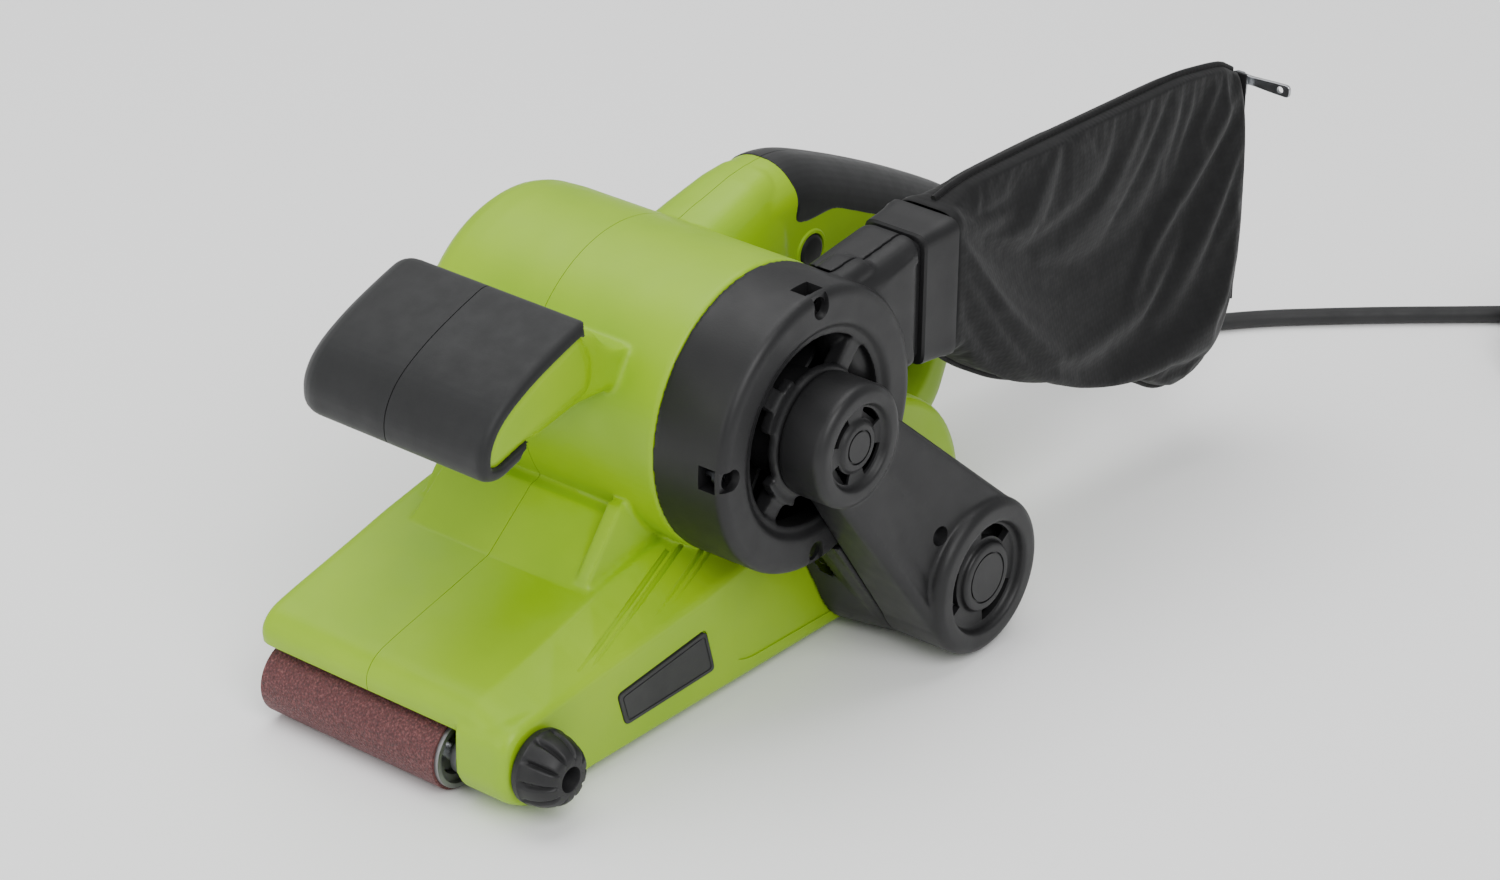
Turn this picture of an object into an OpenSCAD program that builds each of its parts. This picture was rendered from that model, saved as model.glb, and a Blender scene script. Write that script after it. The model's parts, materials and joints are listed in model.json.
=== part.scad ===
// Handheld belt sander: transverse motor, side belt drive, D-handle, front grip and dust bag.
// +X points to the rear, the drive side is -Y, +Z is up, and the origin is the centre of the sole.

/* [Sanding belt] */
// Width of the sanding belt
belt_w = 75; // [60:1:95]
// Thickness of the sanding belt
belt_t = 1; // [0.8:0.1:1.4]
// Distance between the front and rear roller axes
roller_span = 175; // [145:1:215]

/* [Rollers] */
// Radius of the front roller
front_roller_r = 12; // [10:0.5:14]
// Radius of the rubber-covered drive roller
drive_roller_r = 28; // [24:0.5:29]
// Thickness of the rubber on the drive roller
drive_rubber_t = 3; // [2:0.5:5]
// How far the rollers reach past the belt on the drive side
roller_over = 1.5; // [1:0.5:3]
// Radius of the front axle
axle_r = 4; // [3:0.5:5]
// Radius of the drive shaft
drive_shaft_r = 5; // [4:0.5:6]

/* [Motor] */
// How far the motor axis lies ahead of the drive axis
motor_back = 60.5; // [54:0.5:72]
// Height of the motor axis
motor_z = 99; // [95:0.5:106]
// Outer radius of the motor barrel
barrel_r = 49; // [47:0.5:55]
// Radius of the armature core
armature_r = 21; // [18:0.5:23]
// Radius of the motor shaft
motor_shaft_r = 4; // [3:0.5:5]
// Outer radius of the field stator
stator_r = 40; // [36:0.5:42]

/* [Belt drive] */
// Pitch radius of the motor pulley
motor_pulley_r = 9; // [7:0.5:10]
// Pitch radius of the driven pulley
driven_pulley_r = 20; // [16:0.5:21]
// Width of the toothed drive belt
drive_belt_w = 10; // [8:1:11]

/* [Housing] */
// Wall of the plastic housing
wall = 2.6; // [2:0.1:3.2]
// Width of the closed box on the drive side
side_box_w = 21.5; // [20:0.5:25]
// How far the roof reaches past the belt on the open side
roof_over = 4.5; // [3:0.5:8]
// Radius of the rounded rear end
tail_r = 48; // [44:0.5:52]
// Length of the black fan housing along the motor
fan_housing_w = 28.2; // [26:0.2:31]
// Depth of the drive cover over the lower pulley
cover_depth = 25.8; // [24:0.2:30]

/* [Handles] */
// Width of the rear handle
handle_w = 33; // [28:1:36]
// Width of the front grip
grip_w = 82; // [70:1:96]
// Thickness of the soft overmould
overmould_t = 2.5; // [2:0.1:3]

/* [Dust collection] */
// Width of the dust duct
duct_w = 26; // [24:1:30]
// Height of the dust duct
duct_h = 47; // [42:1:52]
// Thickness of the filled dust bag
bag_w = 44; // [36:1:56]
// Length of the dust bag
bag_len = 183; // [150:1:215]

/* [Controls] */
// Outer radius of the tracking knob
knob_r = 13.5; // [11:0.5:15]
// Length of the tracking knob
knob_len = 15.5; // [12:0.5:20]
// Travel of the trigger
trigger_travel = 5; // [3:0.5:6]
// Travel of the lock-on button
lock_travel = 3; // [2:0.5:4]
// Travel of the front roller when the tension lever opens
tension_travel = 6; // [4:0.5:8]

/* [Mains cord] */
// Diameter of the mains cord
cord_d = 6.4; // [6:0.1:7]

/* [Hidden] */

$fn = 64;
eps = 0.01;
run_gap = 0.05;      // running clearance of shafts and bearings
part_gap = 0.3;      // gap between pieces that move past each other
seat_gap = 0.02;     // gap between pieces pressed together in one body
plate_t = 4;         // frame plate
plate_gap = 1.5;     // from roller end to frame plate
bearing_w = 8;

// Axes
front_x = -roller_span / 2;
rear_x = roller_span / 2;
front_z = front_roller_r + part_gap + belt_t;
drive_z = drive_roller_r + part_gap + belt_t;
motor_x = rear_x - motor_back;

// Planes across the tool, from the open side to the drive side
belt_edge = belt_w / 2;
roof_y = belt_edge + roof_over;
barrel_far_y = roof_y + 5;
seam_y = -6;
roller_near_y = -belt_edge - roller_over;
plate_y = roller_near_y - plate_gap - plate_t;
box_y = plate_y - 1;
near_y = box_y - side_box_w;
barrel_near_y = near_y + 6;
fan_face_y = barrel_near_y - fan_housing_w;
case_y = fan_face_y;
cover_y = case_y - cover_depth;
upper_cover_y = cover_y + 9.5;
pulley_y0 = upper_cover_y + 4;
pulley_y1 = pulley_y0 + drive_belt_w + 1;

// Outline of the casing
lip_z = 27;
deck_lip_z = front_z + 26;
sole_clear = 2;
near_top_z = 36;
opening_r = barrel_r - 14.3;

// Handle
handle_y0 = seam_y - handle_w / 2;
handle_y1 = seam_y + handle_w / 2;
grip_y0 = seam_y - grip_w / 2;
grip_y1 = seam_y + grip_w / 2;
bar_angle = -27;
trigger_x = motor_x + 105;
trigger_z = motor_z + 1;
lock_x = motor_x + 79;
lock_z = motor_z + 15;
lock_r = 6;

// Duct, collar and bag
duct_seam_y = fan_face_y + 14.2;
duct_y0 = fan_face_y + 4.7;
duct_y1 = duct_y0 + duct_w;
duct_z1 = motor_z + 45;
duct_z0 = duct_z1 - duct_h;
duct_x1 = motor_x + 60;
duct_t = 2.4;
spigot_len = 12;
collar_len = 17;
bag_x0 = duct_x1 + collar_len;
bag_y = (duct_y0 + duct_y1) / 2;

guard_base = [motor_x + 168, seam_y, motor_z - 40];
cord_tilt = 20;
guard_len = 50;

knob_x = front_x + 2.5;
knob_z = front_z + 5.9;

// Cord: its route is chosen point by point from the guard to the coil
cord_route = [
    [242, -6, 41.9], [251.5, -6, 38.4], [261, -6.5, 34.6], [271, -7.5, 30], [281, -9, 24.6],
    [292, -11.5, 18], [303, -15, 11.6], [315, -19.5, 6.4], [327, -25, 4.1], [338, -31.5, 3.4],
    [349, -39.5, 3.3], [360, -49, 3.3], [371, -60, 3.3], [383, -72.5, 3.3], [395, -85.5, 3.3],
    [407, -99, 3.3], [420, -113.5, 3.3], [433, -128.5, 3.3], [446, -143.5, 3.3]];
coil_centre = [413, -172];
coil_mid_r = 37;
coil_section = 3 * cord_d;
coil_z = 0.8;
plug_lead = [for (p = [
    [-1, -31, 20.2], [-10, -31.5, 23], [-19, -31, 25.5], [-28, -29, 27.5], [-36.5, -24, 29],
    [-43, -16.5, 30], [-46, -7, 30.6], [-43, 0.5, 30.9], [-36, 3, 30.9], [-28.5, 3, 30.9]])
    [coil_centre[0] + p[0], coil_centre[1] + p[1], p[2]]];

function arc(cx, cz, r, a0, a1, n) =
    [for (i = [0:n]) [cx + r * cos(a0 + (a1 - a0) * i / n), cz + r * sin(a0 + (a1 - a0) * i / n)]];

// An outline in X and Z, carried across the tool from y0 to y1
module across(y0, y1) {
    translate([0, y1, 0]) rotate([90, 0, 0]) linear_extrude(y1 - y0) children();
}

module rod(x, z, r, y0, y1) {
    translate([x, y1, z]) rotate([90, 0, 0]) cylinder(r = r, h = y1 - y0);
}

module ring(x, z, r_out, r_in, y0, y1) {
    difference() {
        rod(x, z, r_out, y0, y1);
        rod(x, z, r_in, y0 - 1, y1 + 1);
    }
}

module block(x0, x1, y0, y1, z0, z1) {
    translate([x0, y0, z0]) cube([x1 - x0, y1 - y0, z1 - z0]);
}

// Outline of a belt round two pulleys: two arcs joined by their tangents
module link(ax, az, ra, bx, bz, rb) {
    d = sqrt((bx - ax) * (bx - ax) + (bz - az) * (bz - az));
    dir = atan2(bz - az, bx - ax);
    turn = acos((ra - rb) / d);
    polygon(concat(
        arc(ax, az, ra, dir + turn, dir + 360 - turn, 36),
        arc(bx, bz, rb, dir - turn, dir + turn, 36)));
}

module belt_loop(grow) {
    link(front_x, front_z, front_roller_r + grow, rear_x, drive_z, drive_roller_r + grow);
}

module drive_link(grow) {
    link(motor_x, motor_z, motor_pulley_r + grow, rear_x, drive_z, driven_pulley_r + grow);
}

// Roof outline over the belt: lip, sloping deck, motor saddle and rounded tail, inset by i
module deck_outline(i, bottom) {
    intersection() {
        union() {
            polygon([
                [front_x + 1, bottom], [front_x - 8.5 + i, bottom], [front_x - 8.5 + i, lip_z + 7],
                [front_x - 2.5 + i / 2, deck_lip_z - i], [front_x + 6.5, deck_lip_z + 2.2 - i],
                [front_x + 50.5, 53 - i], [motor_x - 43, motor_z - 30 - i],
                [motor_x, motor_z - 24 - i], [rear_x, drive_z + tail_r - i], [rear_x, bottom]]);
            translate([rear_x, drive_z]) circle(tail_r - i, $fn = 96);
        }
        translate([front_x - 40, bottom]) square([roller_span + 200, 200]);
    }
}

// Outline of the closed box on the drive side, inset by i
module box_outline(i) {
    intersection() {
        union() {
            polygon([
                [front_x + 2 + i, sole_clear + i], [front_x - 7 + i, 7 + i], [front_x - 11 + i, 14 + i],
                [front_x - 11 + i, near_top_z - 6 - i], [front_x - 5 + i / 2, near_top_z - i],
                [front_x + 57, near_top_z + 6 - i], [motor_x, near_top_z + 12 - i],
                [motor_x + 30, near_top_z + 24 - i], [rear_x, drive_z + tail_r - i],
                [rear_x, sole_clear + i]]);
            translate([rear_x, drive_z]) circle(tail_r - i, $fn = 96);
        }
        translate([front_x - 40, sole_clear + i]) square([roller_span + 200, 200]);
    }
}

// Shoulder, bar, rear leg and tail of the D-handle, with its hand hole
module handle_outline() {
    difference() {
        polygon([
            [motor_x + 24, motor_z + 30], [motor_x + 30, motor_z + 40], [motor_x + 45, motor_z + 43],
            [motor_x + 62, motor_z + 46.5], [motor_x + 72, motor_z + 47.3], [motor_x + 82, motor_z + 46],
            [motor_x + 93, motor_z + 42], [motor_x + 116, motor_z + 32], [motor_x + 140, motor_z + 20.5],
            [motor_x + 169, motor_z + 5], [motor_x + 178, motor_z - 2], [motor_x + 182, motor_z - 12],
            [motor_x + 181, motor_z - 24], [motor_x + 176, motor_z - 44], [motor_x + 168, motor_z - 63],
            [motor_x + 162, motor_z - 76], [motor_x + 150, motor_z - 85], [motor_x + 120, motor_z - 88],
            [motor_x + 98, motor_z - 88], [motor_x + 80, motor_z - 60]]);
        polygon([
            [motor_x + 10, motor_z - 10], [motor_x + 62, motor_z - 10], [motor_x + 80, motor_z - 3],
            [motor_x + 98, motor_z + 1], [motor_x + 120, motor_z - 7], [motor_x + 142, motor_z - 20],
            [motor_x + 152, motor_z - 32], [motor_x + 149, motor_z - 50], [motor_x + 140, motor_z - 62],
            [motor_x + 126, motor_z - 66], [motor_x + 112, motor_z - 60], [motor_x + 90, motor_z - 36],
            [motor_x + 40, motor_z - 30]]);
    }
}

// Upper skin of the handle bar, where the soft rear grip sits
function bar_top(i) = [
    [motor_x + 72 + i, motor_z + 47.3 - i], [motor_x + 82, motor_z + 46 - i],
    [motor_x + 93, motor_z + 42 - i], [motor_x + 116, motor_z + 32 - i],
    [motor_x + 140, motor_z + 20.5 - i], [motor_x + 169 - i, motor_z + 5 - i]];

module rear_grip_outline() {
    polygon(concat(bar_top(0), [
        [motor_x + 163, motor_z - 6], [motor_x + 128, motor_z + 11],
        [motor_x + 92, motor_z + 28], [motor_x + 70, motor_z + 26]]));
}

// Front grip: outer skin of the soft shell, and the hard core inside it
function grip_skin(i) = [
    [front_x + 52.5 - i / 2, motor_z + 50 - i], [front_x + 39.5, motor_z + 46 - i],
    [front_x + 23.5 + i / 4, motor_z + 40 - i], [front_x + 8.5 + i, motor_z + 32 - i],
    [front_x + 2.5 + i, motor_z + 22], [front_x + 3.5 + i, motor_z + 9 + i],
    [front_x + 23, motor_z + 12.6 + i]];

module grip_shell_outline() {
    inner = grip_skin(overmould_t);
    polygon(concat(grip_skin(0), [for (k = [len(inner) - 1:-1:0]) inner[k]]));
}

module grip_core_outline() {
    polygon(concat(grip_skin(overmould_t), [
        [front_x + 56.5, motor_z + 20], [front_x + 60.5, motor_z + 27],
        [front_x + 55.5, motor_z + 40]]));
}

module grip_neck() {
    across(grip_y0 + 6, grip_y1 - 6) polygon([
        [front_x + 55, motor_z + 41], [motor_x - 32, motor_z + 36.5], [motor_x - 32, motor_z + 5],
        [front_x + 66, motor_z + 8], [front_x + 56, motor_z + 20]]);
}

screw_spots = [
    [motor_x + 60, motor_z + 33], [motor_x + 171, motor_z - 20],
    [motor_x + 155, motor_z - 72], [front_x + 25, motor_z + 25]];

// All of the green housing before it is parted at the seam
module housing_solid() {
    difference() {
        union() {
            difference() {
                housing_outer();
                housing_hollows();
            }
            ring(rear_x, drive_z, 16, 13 + seat_gap, near_y, near_y + bearing_w + 1);
            // seat of the far motor bearing, and the ribs that hold the stator
            ring(motor_x, motor_z, 16, 13 + seat_gap, barrel_far_y - wall - 10, barrel_far_y - wall + eps);
            for (y = [core_y0 + 5, core_y1 - 12])
                ring(motor_x, motor_z, barrel_r - 1, stator_r + seat_gap, y, y + 5);
        }
        housing_holes();
    }
}

module housing_outer() {
    rod(motor_x, motor_z, barrel_r, barrel_near_y, barrel_far_y - 8);
    rod(motor_x, motor_z, barrel_r - 3, barrel_far_y - 8 - eps, barrel_far_y);
    across(near_y, box_y + eps) box_outline(0);
    across(near_y + 15.5, roof_y) deck_outline(0, lip_z);
    across(handle_y0, handle_y1) difference() {
        handle_outline();
        rear_grip_outline();
    }
    across(handle_y0 + overmould_t, handle_y1 - overmould_t) difference() {
        rear_grip_outline();
        bar_skin_cut();
    }
    across(grip_y0, grip_y1) grip_core_outline();
    grip_neck();
}

module bar_skin_cut() {
    polygon(concat(bar_top(-1), [for (k = [5:-1:0]) bar_top(overmould_t)[k]]));
}

module housing_hollows() {
    // motor bore, open towards the fan
    rod(motor_x, motor_z, barrel_r - wall, barrel_near_y - 1, barrel_far_y - 8);
    rod(motor_x, motor_z, barrel_r - 3 - wall, barrel_far_y - 9, barrel_far_y - wall);
    // drive-side box
    across(near_y + wall, box_y - wall) difference() {
        box_outline(wall);
        translate([motor_x, motor_z]) circle(barrel_r);
    }
    // belt bay, open below and on the far side
    across(box_y, roof_y + 1) difference() {
        union() {
            deck_outline(wall, -20);
            translate([front_x - 30, -20]) square([30 + roller_span / 2, 20 + lip_z]);
        }
        translate([motor_x, motor_z]) circle(barrel_r);
        tail_block();
    }
    across(plate_y, roof_y + 1) belt_loop(belt_t + part_gap + 2);
}

// The tail that the rear leg of the handle stands on
module tail_block() {
    translate([rear_x + tail_r - wall, -20]) square([120, 120]);
}

module housing_holes() {
    // drive shaft passage and bearing seat, tracking screw
    rod(rear_x, drive_z, 13 + seat_gap, near_y - 1, near_y + bearing_w);
    rod(rear_x, drive_z, drive_shaft_r + 2, near_y - 1, box_y + 1);
    rod(rear_x, drive_z, 16.5, box_y - wall - 4, box_y + 1);
    rod(knob_x, knob_z, 3.2, near_y - 1, box_y + 1);
    // switch room, trigger slot, lock button bore and cord passage in the handle
    translate([trigger_x, seam_y, trigger_z]) rotate([0, -bar_angle, 0]) {
        translate([-23, -9, 5]) cube([50, 18, 20]);
        translate([-21, -7.3, -14]) cube([42, 14.6, 28]);
    }
    rod(lock_x, lock_z, lock_r + part_gap, handle_y0 - 1, seam_y - 2);
    across(seam_y - 3.5, seam_y + 3.5) polygon([
        [trigger_x + 24, trigger_z + 2], [motor_x + 162, motor_z - 14], [motor_x + 172, motor_z - 44],
        [motor_x + 164, motor_z - 44], [motor_x + 154, motor_z - 20], [trigger_x + 18, trigger_z - 4]]);
    translate(guard_base) rotate([0, 90 + cord_tilt, 0]) translate([0, 0, -9]) cylinder(r = 5.2, h = 25);
    rod(motor_x, motor_z, barrel_r + part_gap, near_y - 1, barrel_near_y);
    // screw holes and head seats, from the open side
    for (s = screw_spots) {
        rod(s[0], s[1], 1.7, seam_y - 12, handle_y1 + 60);
        rod(s[0], s[1], 3.6, seam_y + 8, handle_y1 + 60);
    }
    across(near_y - 1, near_y + 1) name_plate_outline(0);
}

module housing_left() {
    color("yellowgreen") difference() {
        housing_solid();
        block(front_x - 60, rear_x + 150, seam_y, roof_y + 60, -10, motor_z + 90);
    }
}

module housing_right() {
    color("yellowgreen") difference() {
        housing_solid();
        block(front_x - 60, rear_x + 150, near_y - 60, seam_y, -10, motor_z + 90);
    }
}

// Screws that join the two halves
module housing_screws() {
    color("silver") for (s = screw_spots) {
        rod(s[0], s[1], 1.7 - run_gap, seam_y - 12, seam_y + 8);
        difference() {
            rod(s[0], s[1], 3.3, seam_y + 8, seam_y + 10.5);
            rod(s[0], s[1], 1.4, seam_y + 9.2, seam_y + 11);
        }
    }
}

function plate_corners(g) = [
    [front_x + 41.5 - g, 26 + g], [front_x + 85.5 + g, 31 + g],
    [front_x + 90.5 + g, 14 - g], [front_x + 45.5 - g, 13 - g]];

module name_plate_outline(g) {
    polygon(plate_corners(g));
}

// Blank badge plate on the drive side
module name_plate() {
    color("dimgray") across(near_y - 0.6, near_y + 1) name_plate_outline(-seat_gap);
}

module front_grip(y0, y1) {
    color("darkslategray") across(y0, y1) grip_shell_outline();
}

module front_grip_left() {
    front_grip(grip_y0, seam_y);
}

module front_grip_right() {
    front_grip(seam_y, grip_y1);
}

// Soft skin over the handle bar: a channel over its top and sides
module rear_grip(y0, y1, core_y0, core_y1) {
    color("darkslategray") difference() {
        across(y0, y1) rear_grip_outline();
        across(core_y0, core_y1) difference() {
            translate([motor_x, motor_z - 40]) square([260, 120]);
            bar_skin_cut();
        }
        rod(lock_x, lock_z, lock_r + part_gap, handle_y0 - 1, seam_y);
        for (s = screw_spots) rod(s[0], s[1], 3.6, seam_y + 8, handle_y1 + 1);
    }
}

module rear_grip_left() {
    rear_grip(handle_y0, seam_y, handle_y0 + overmould_t, seam_y + 1);
}

module rear_grip_right() {
    rear_grip(seam_y, handle_y1, seam_y - 1, handle_y1 - overmould_t);
}

// Black ring round the fan with a spoked grille and the near half of the dust duct
module fan_housing() {
    spokes = 4;
    hub_r = 18;
    color([0.16, 0.16, 0.17]) difference() {
        union() {
            ring(motor_x, motor_z, barrel_r, barrel_r - wall, fan_face_y, barrel_near_y);
            ring(motor_x, motor_z, barrel_r - wall / 2, opening_r, fan_face_y, fan_face_y + 3);
            rod(motor_x, motor_z, hub_r, fan_face_y, fan_face_y + 16);
            for (k = [0:spokes - 1])
                translate([motor_x, fan_face_y + 3, motor_z]) rotate([0, -48 - k * 360 / spokes, 0])
                    translate([hub_r - 2, 0, -3.5]) cube([barrel_r - wall / 2 - hub_r + 2, 5, 7]);
            difference() {
                across(duct_y0, duct_seam_y) duct_outline(0);
                across(duct_y0 + duct_t, duct_seam_y + 1) duct_hollow();
            }
        }
        rod(motor_x, motor_z, 13 + seat_gap, fan_face_y + 6, fan_face_y + 17);
        rod(motor_x, motor_z, 8, fan_face_y - 1, fan_face_y + 17);
        for (a = fan_screw_angles)
            rod(motor_x + fan_screw_r * cos(a), motor_z + fan_screw_r * sin(a), 1.7,
                fan_face_y - 1, fan_face_y + 4);
        // the fan blows into the duct through the side of the ring
        across(duct_y0 + duct_t, duct_seam_y + 1) translate([motor_x + 15, duct_z0 + duct_t])
            square([barrel_r, duct_h - 2 * duct_t - 8]);
    }
}

fan_screw_angles = [90:90:270];
fan_screw_r = 43.5;

module duct_outline(i) {
    difference() {
        polygon([
            [motor_x + 10, duct_z1 - i], [duct_x1, duct_z1 - i], [duct_x1, duct_z0 + i],
            [motor_x + 40, duct_z0 + i]]);
        translate([motor_x, motor_z]) circle(barrel_r - wall / 2);
    }
}

module duct_hollow() {
    polygon([
        [motor_x + 20, duct_z1 - duct_t], [duct_x1 + 1, duct_z1 - duct_t],
        [duct_x1 + 1, duct_z0 + duct_t], [motor_x + 42, duct_z0 + duct_t]]);
}

// Far half of the duct, with the spigot that the bag collar slides over
module duct_back() {
    color([0.16, 0.16, 0.17]) {
        difference() {
            across(duct_seam_y, duct_y1) difference() {
                duct_outline(0);
                translate([motor_x, motor_z]) circle(barrel_r + part_gap);
            }
            across(duct_seam_y - 1, duct_y1 - duct_t) duct_hollow();
        }
        difference() {
            spigot(duct_t, duct_x1 - 6, duct_x1 + spigot_len);
            spigot(duct_t + 2, duct_x1 - 7, duct_x1 + spigot_len + 1);
        }
    }
}

// A block that fills the duct's cross-section, inset by i
module spigot(i, x0, x1) {
    block(x0, x1, duct_y0 + i, duct_y1 - i, duct_z0 + i, duct_z1 - i);
}

module fan_housing_screws() {
    color("silver") for (a = fan_screw_angles)
        translate([motor_x + fan_screw_r * cos(a), 0, motor_z + fan_screw_r * sin(a)]) {
            rod(0, 0, 1.7 - run_gap, fan_face_y, fan_face_y + 12);
            difference() {
                rod(0, 0, 3.2, fan_face_y - 1.8, fan_face_y);
                rod(0, 0, 1.3, fan_face_y - 2, fan_face_y - 0.7);
            }
        }
}

// Back half of the belt case: a skirt from the casing wall out to the cover
module belt_case() {
    color([0.17, 0.17, 0.18]) difference() {
        across(case_y, near_y) case_skirt(0);
        across(case_y - 1, near_y - 3) case_skirt(2.2);
        rod(rear_x, drive_z, drive_shaft_r + 3, case_y - 1, near_y + 1);
    }
    color([0.17, 0.17, 0.18]) for (s = cover_screw_spots)
        ring(s[0], s[1], 4.5, 1.8, case_y, near_y - 2);
}

// The skirt keeps to the lower part of the drive, clear of the fan housing
module case_skirt(i) {
    difference() {
        drive_link(7.3 - i);
        translate([motor_x, motor_z]) circle(barrel_r + part_gap + i);
        translate([motor_x, motor_z]) rotate(drive_dir) translate([-60, -60]) square([60, 120]);
    }
}

drive_dir = atan2(drive_z - motor_z, rear_x - motor_x);
cover_screw_spots = [[rear_x - 21.5, drive_z + 23]];

// Outer cover of the drive belt, with a recessed vent in each boss
module drive_cover() {
    lower_r = driven_pulley_r + 7.6;
    upper_r = motor_pulley_r + 12;
    color([0.18, 0.18, 0.19]) difference() {
        union() {
            across(upper_cover_y, case_y) drive_link(7.3);
            rod(rear_x, drive_z, lower_r, cover_y, case_y);
            rod(motor_x, motor_z, upper_r, upper_cover_y - 1, case_y);
        }
        across(upper_cover_y + 2.5, case_y + 1) drive_link(5.1);
        rod(rear_x, drive_z, lower_r - 2.2, cover_y + 6, case_y + 1);
        rod(rear_x, drive_z, 17.5, cover_y - 1, cover_y + 3);
        rod(motor_x, motor_z, 14.3, upper_cover_y - 2, upper_cover_y + 0.8);
        for (k = [0:2]) {
            translate([rear_x, cover_y + 5, drive_z]) rotate([0, 90 + 120 * k, 0])
                translate([9, -4, -5]) cube([6, 8, 10]);
            translate([motor_x, upper_cover_y, motor_z]) rotate([0, 30 + 120 * k, 0])
                translate([7, -3, -4]) cube([5, 8, 8]);
        }
        for (s = cover_screw_spots) rod(s[0], s[1], 3.4, cover_y - 1, upper_cover_y + 2);
        for (s = cover_screw_spots) rod(s[0], s[1], 1.8, cover_y - 1, case_y + 1);
    }
    color([0.18, 0.18, 0.19]) for (s = cover_screw_spots)
        ring(s[0], s[1], 4.5, 1.8, upper_cover_y + 2, case_y);
}

module cover_screws() {
    color("silver") for (s = cover_screw_spots) {
        rod(s[0], s[1], 1.8 - run_gap, upper_cover_y + 1.9, case_y + 10);
        difference() {
            rod(s[0], s[1], 3.2, upper_cover_y + 0.2, upper_cover_y + 2);
            rod(s[0], s[1], 1.3, upper_cover_y, upper_cover_y + 1.2);
        }
    }
}

// Frame plate with the platen shelf, the bearing boss and the guide of the front fork
module frame_plate() {
    color("lightgray") difference() {
        union() {
            across(plate_y, plate_y + plate_t) frame_outline();
            rod(rear_x, drive_z, 16, plate_y - 10, plate_y + plate_t);
            block(guide_x0, shelf_x1, plate_y + plate_t - eps, belt_edge - 1, shelf_z0, shelf_z0 + 5);
            block(guide_x0, guide_x0 + 20, -9, 9, shelf_z0, front_z + 9);
            block(lever_x - 9, lever_x + 9, lever_y - 9, belt_edge - 1, shelf_z0, lever_z0 - part_gap);
        }
        rod(rear_x, drive_z, 13 + seat_gap, plate_y - 11, plate_y - 1);
        rod(rear_x, drive_z, drive_shaft_r + 2, plate_y - 11, plate_y + plate_t + 1);
        translate([guide_x0 - 1, 0, front_z]) rotate([0, 90, 0]) cylinder(r = stem_r + run_gap, h = 30);
        translate([lever_x, lever_y, shelf_z0 - 1]) cylinder(r = 3, h = 30);
        for (x = [shelf_x0 + 12:18:shelf_x1 - 12])
            if (abs(x - lever_x) > 14 && abs(x - guide_x0 - 10) > 16)
                block(x - 5, x + 5, -20, 24, shelf_z0 - 1, shelf_z0 + 6);
    }
}

shelf_z0 = belt_t + 3;
shelf_x0 = front_x + 33;
shelf_x1 = rear_x - drive_roller_r - 4;
guide_x0 = front_x + 40;
stem_r = 4.5;
lever_x = front_x + 70;
lever_y = belt_edge - 6;
lever_z0 = front_z - 2;
lever_h = 7;

module frame_outline() {
    polygon([
        [shelf_x0, shelf_z0], [rear_x + 10, shelf_z0], [rear_x + 26, drive_z - 12],
        [rear_x + 26, drive_z + 14], [rear_x, drive_z + 28], [rear_x - 30, drive_z + 16],
        [shelf_x0, front_z + 10]]);
}

module platen_plate() {
    color("silver") block(front_x + 16, shelf_x1, -belt_edge + 1, belt_edge - 1, belt_t + 1.5, shelf_z0);
}

module platen_pad() {
    color("tan") block(front_x + 16, shelf_x1, -belt_edge + 1, belt_edge - 1, belt_t, belt_t + 1.5);
}

module sanding_belt() {
    color([0.36, 0.2, 0.2]) across(-belt_edge, belt_edge) difference() {
        belt_loop(part_gap + belt_t);
        belt_loop(part_gap);
    }
}

module front_roller() {
    color("silver") difference() {
        rod(front_x, front_z, front_roller_r, roller_near_y, belt_edge);
        rod(front_x, front_z, axle_r + 4 + seat_gap, roller_near_y - 1, belt_edge + 1);
        for (y = [roller_near_y - 1, belt_edge - 2])
            rod(front_x, front_z, front_roller_r - 1.6, y, y + 3);
    }
}

module front_roller_bearings() {
    color("gray") for (y = [roller_near_y + 4, belt_edge - 9])
        ring(front_x, front_z, axle_r + 4, axle_r + run_gap, y, y + 5);
}

// Fork that carries the front roller and slides in the frame
module front_fork() {
    arm_y0 = roller_near_y - 0.4 - 2.4;
    arm_y1 = belt_edge + 0.4;
    cross_x = front_x + front_roller_r + 5;
    color("lightgray") difference() {
        union() {
            for (y = [arm_y0, arm_y1]) {
                block(front_x, cross_x + 6, y, y + 2.4, front_z - 6, front_z + 6);
                rod(front_x, front_z, 6.5, y, y + 2.4);
            }
            block(cross_x, cross_x + 6, arm_y0, arm_y1 + 2.4, front_z - 5, front_z + 6);
            translate([cross_x + 5, 0, front_z]) rotate([0, 90, 0])
                cylinder(r = stem_r, h = guide_x0 + 14 - cross_x - 5);
        }
        rod(front_x, front_z, axle_r + seat_gap, arm_y0 - 1, arm_y1 + 4);
    }
}

module front_axle() {
    color("silver") rod(front_x, front_z, axle_r, roller_near_y - 2.8, belt_edge + 2.8);
}

// Tension spring as a row of turns round the stem, between fork and guide
module tension_spring() {
    turns = 5;
    x0 = front_x + front_roller_r + 12.2;
    room = guide_x0 - x0 - 1.2;
    color("silver") for (k = [0:turns - 1])
        translate([x0 + 0.2 + k * room / (turns - 1), 0, front_z]) rotate([0, 90, 0])
            rotate_extrude() translate([stem_r + 2, 0]) circle(0.9);
}

module tension_lever() {
    color("dimgray") difference() {
        union() {
            translate([lever_x, lever_y, lever_z0]) cylinder(r = 6.5, h = lever_h);
            block(lever_x, lever_x + 50, lever_y, lever_y + 5, lever_z0, lever_z0 + lever_h);
            block(lever_x + 38, lever_x + 50, lever_y, lever_y + 12, lever_z0, lever_z0 + lever_h);
        }
        translate([lever_x, lever_y, lever_z0 - 1]) cylinder(r = 3 + run_gap, h = lever_h + 2);
    }
}

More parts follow.
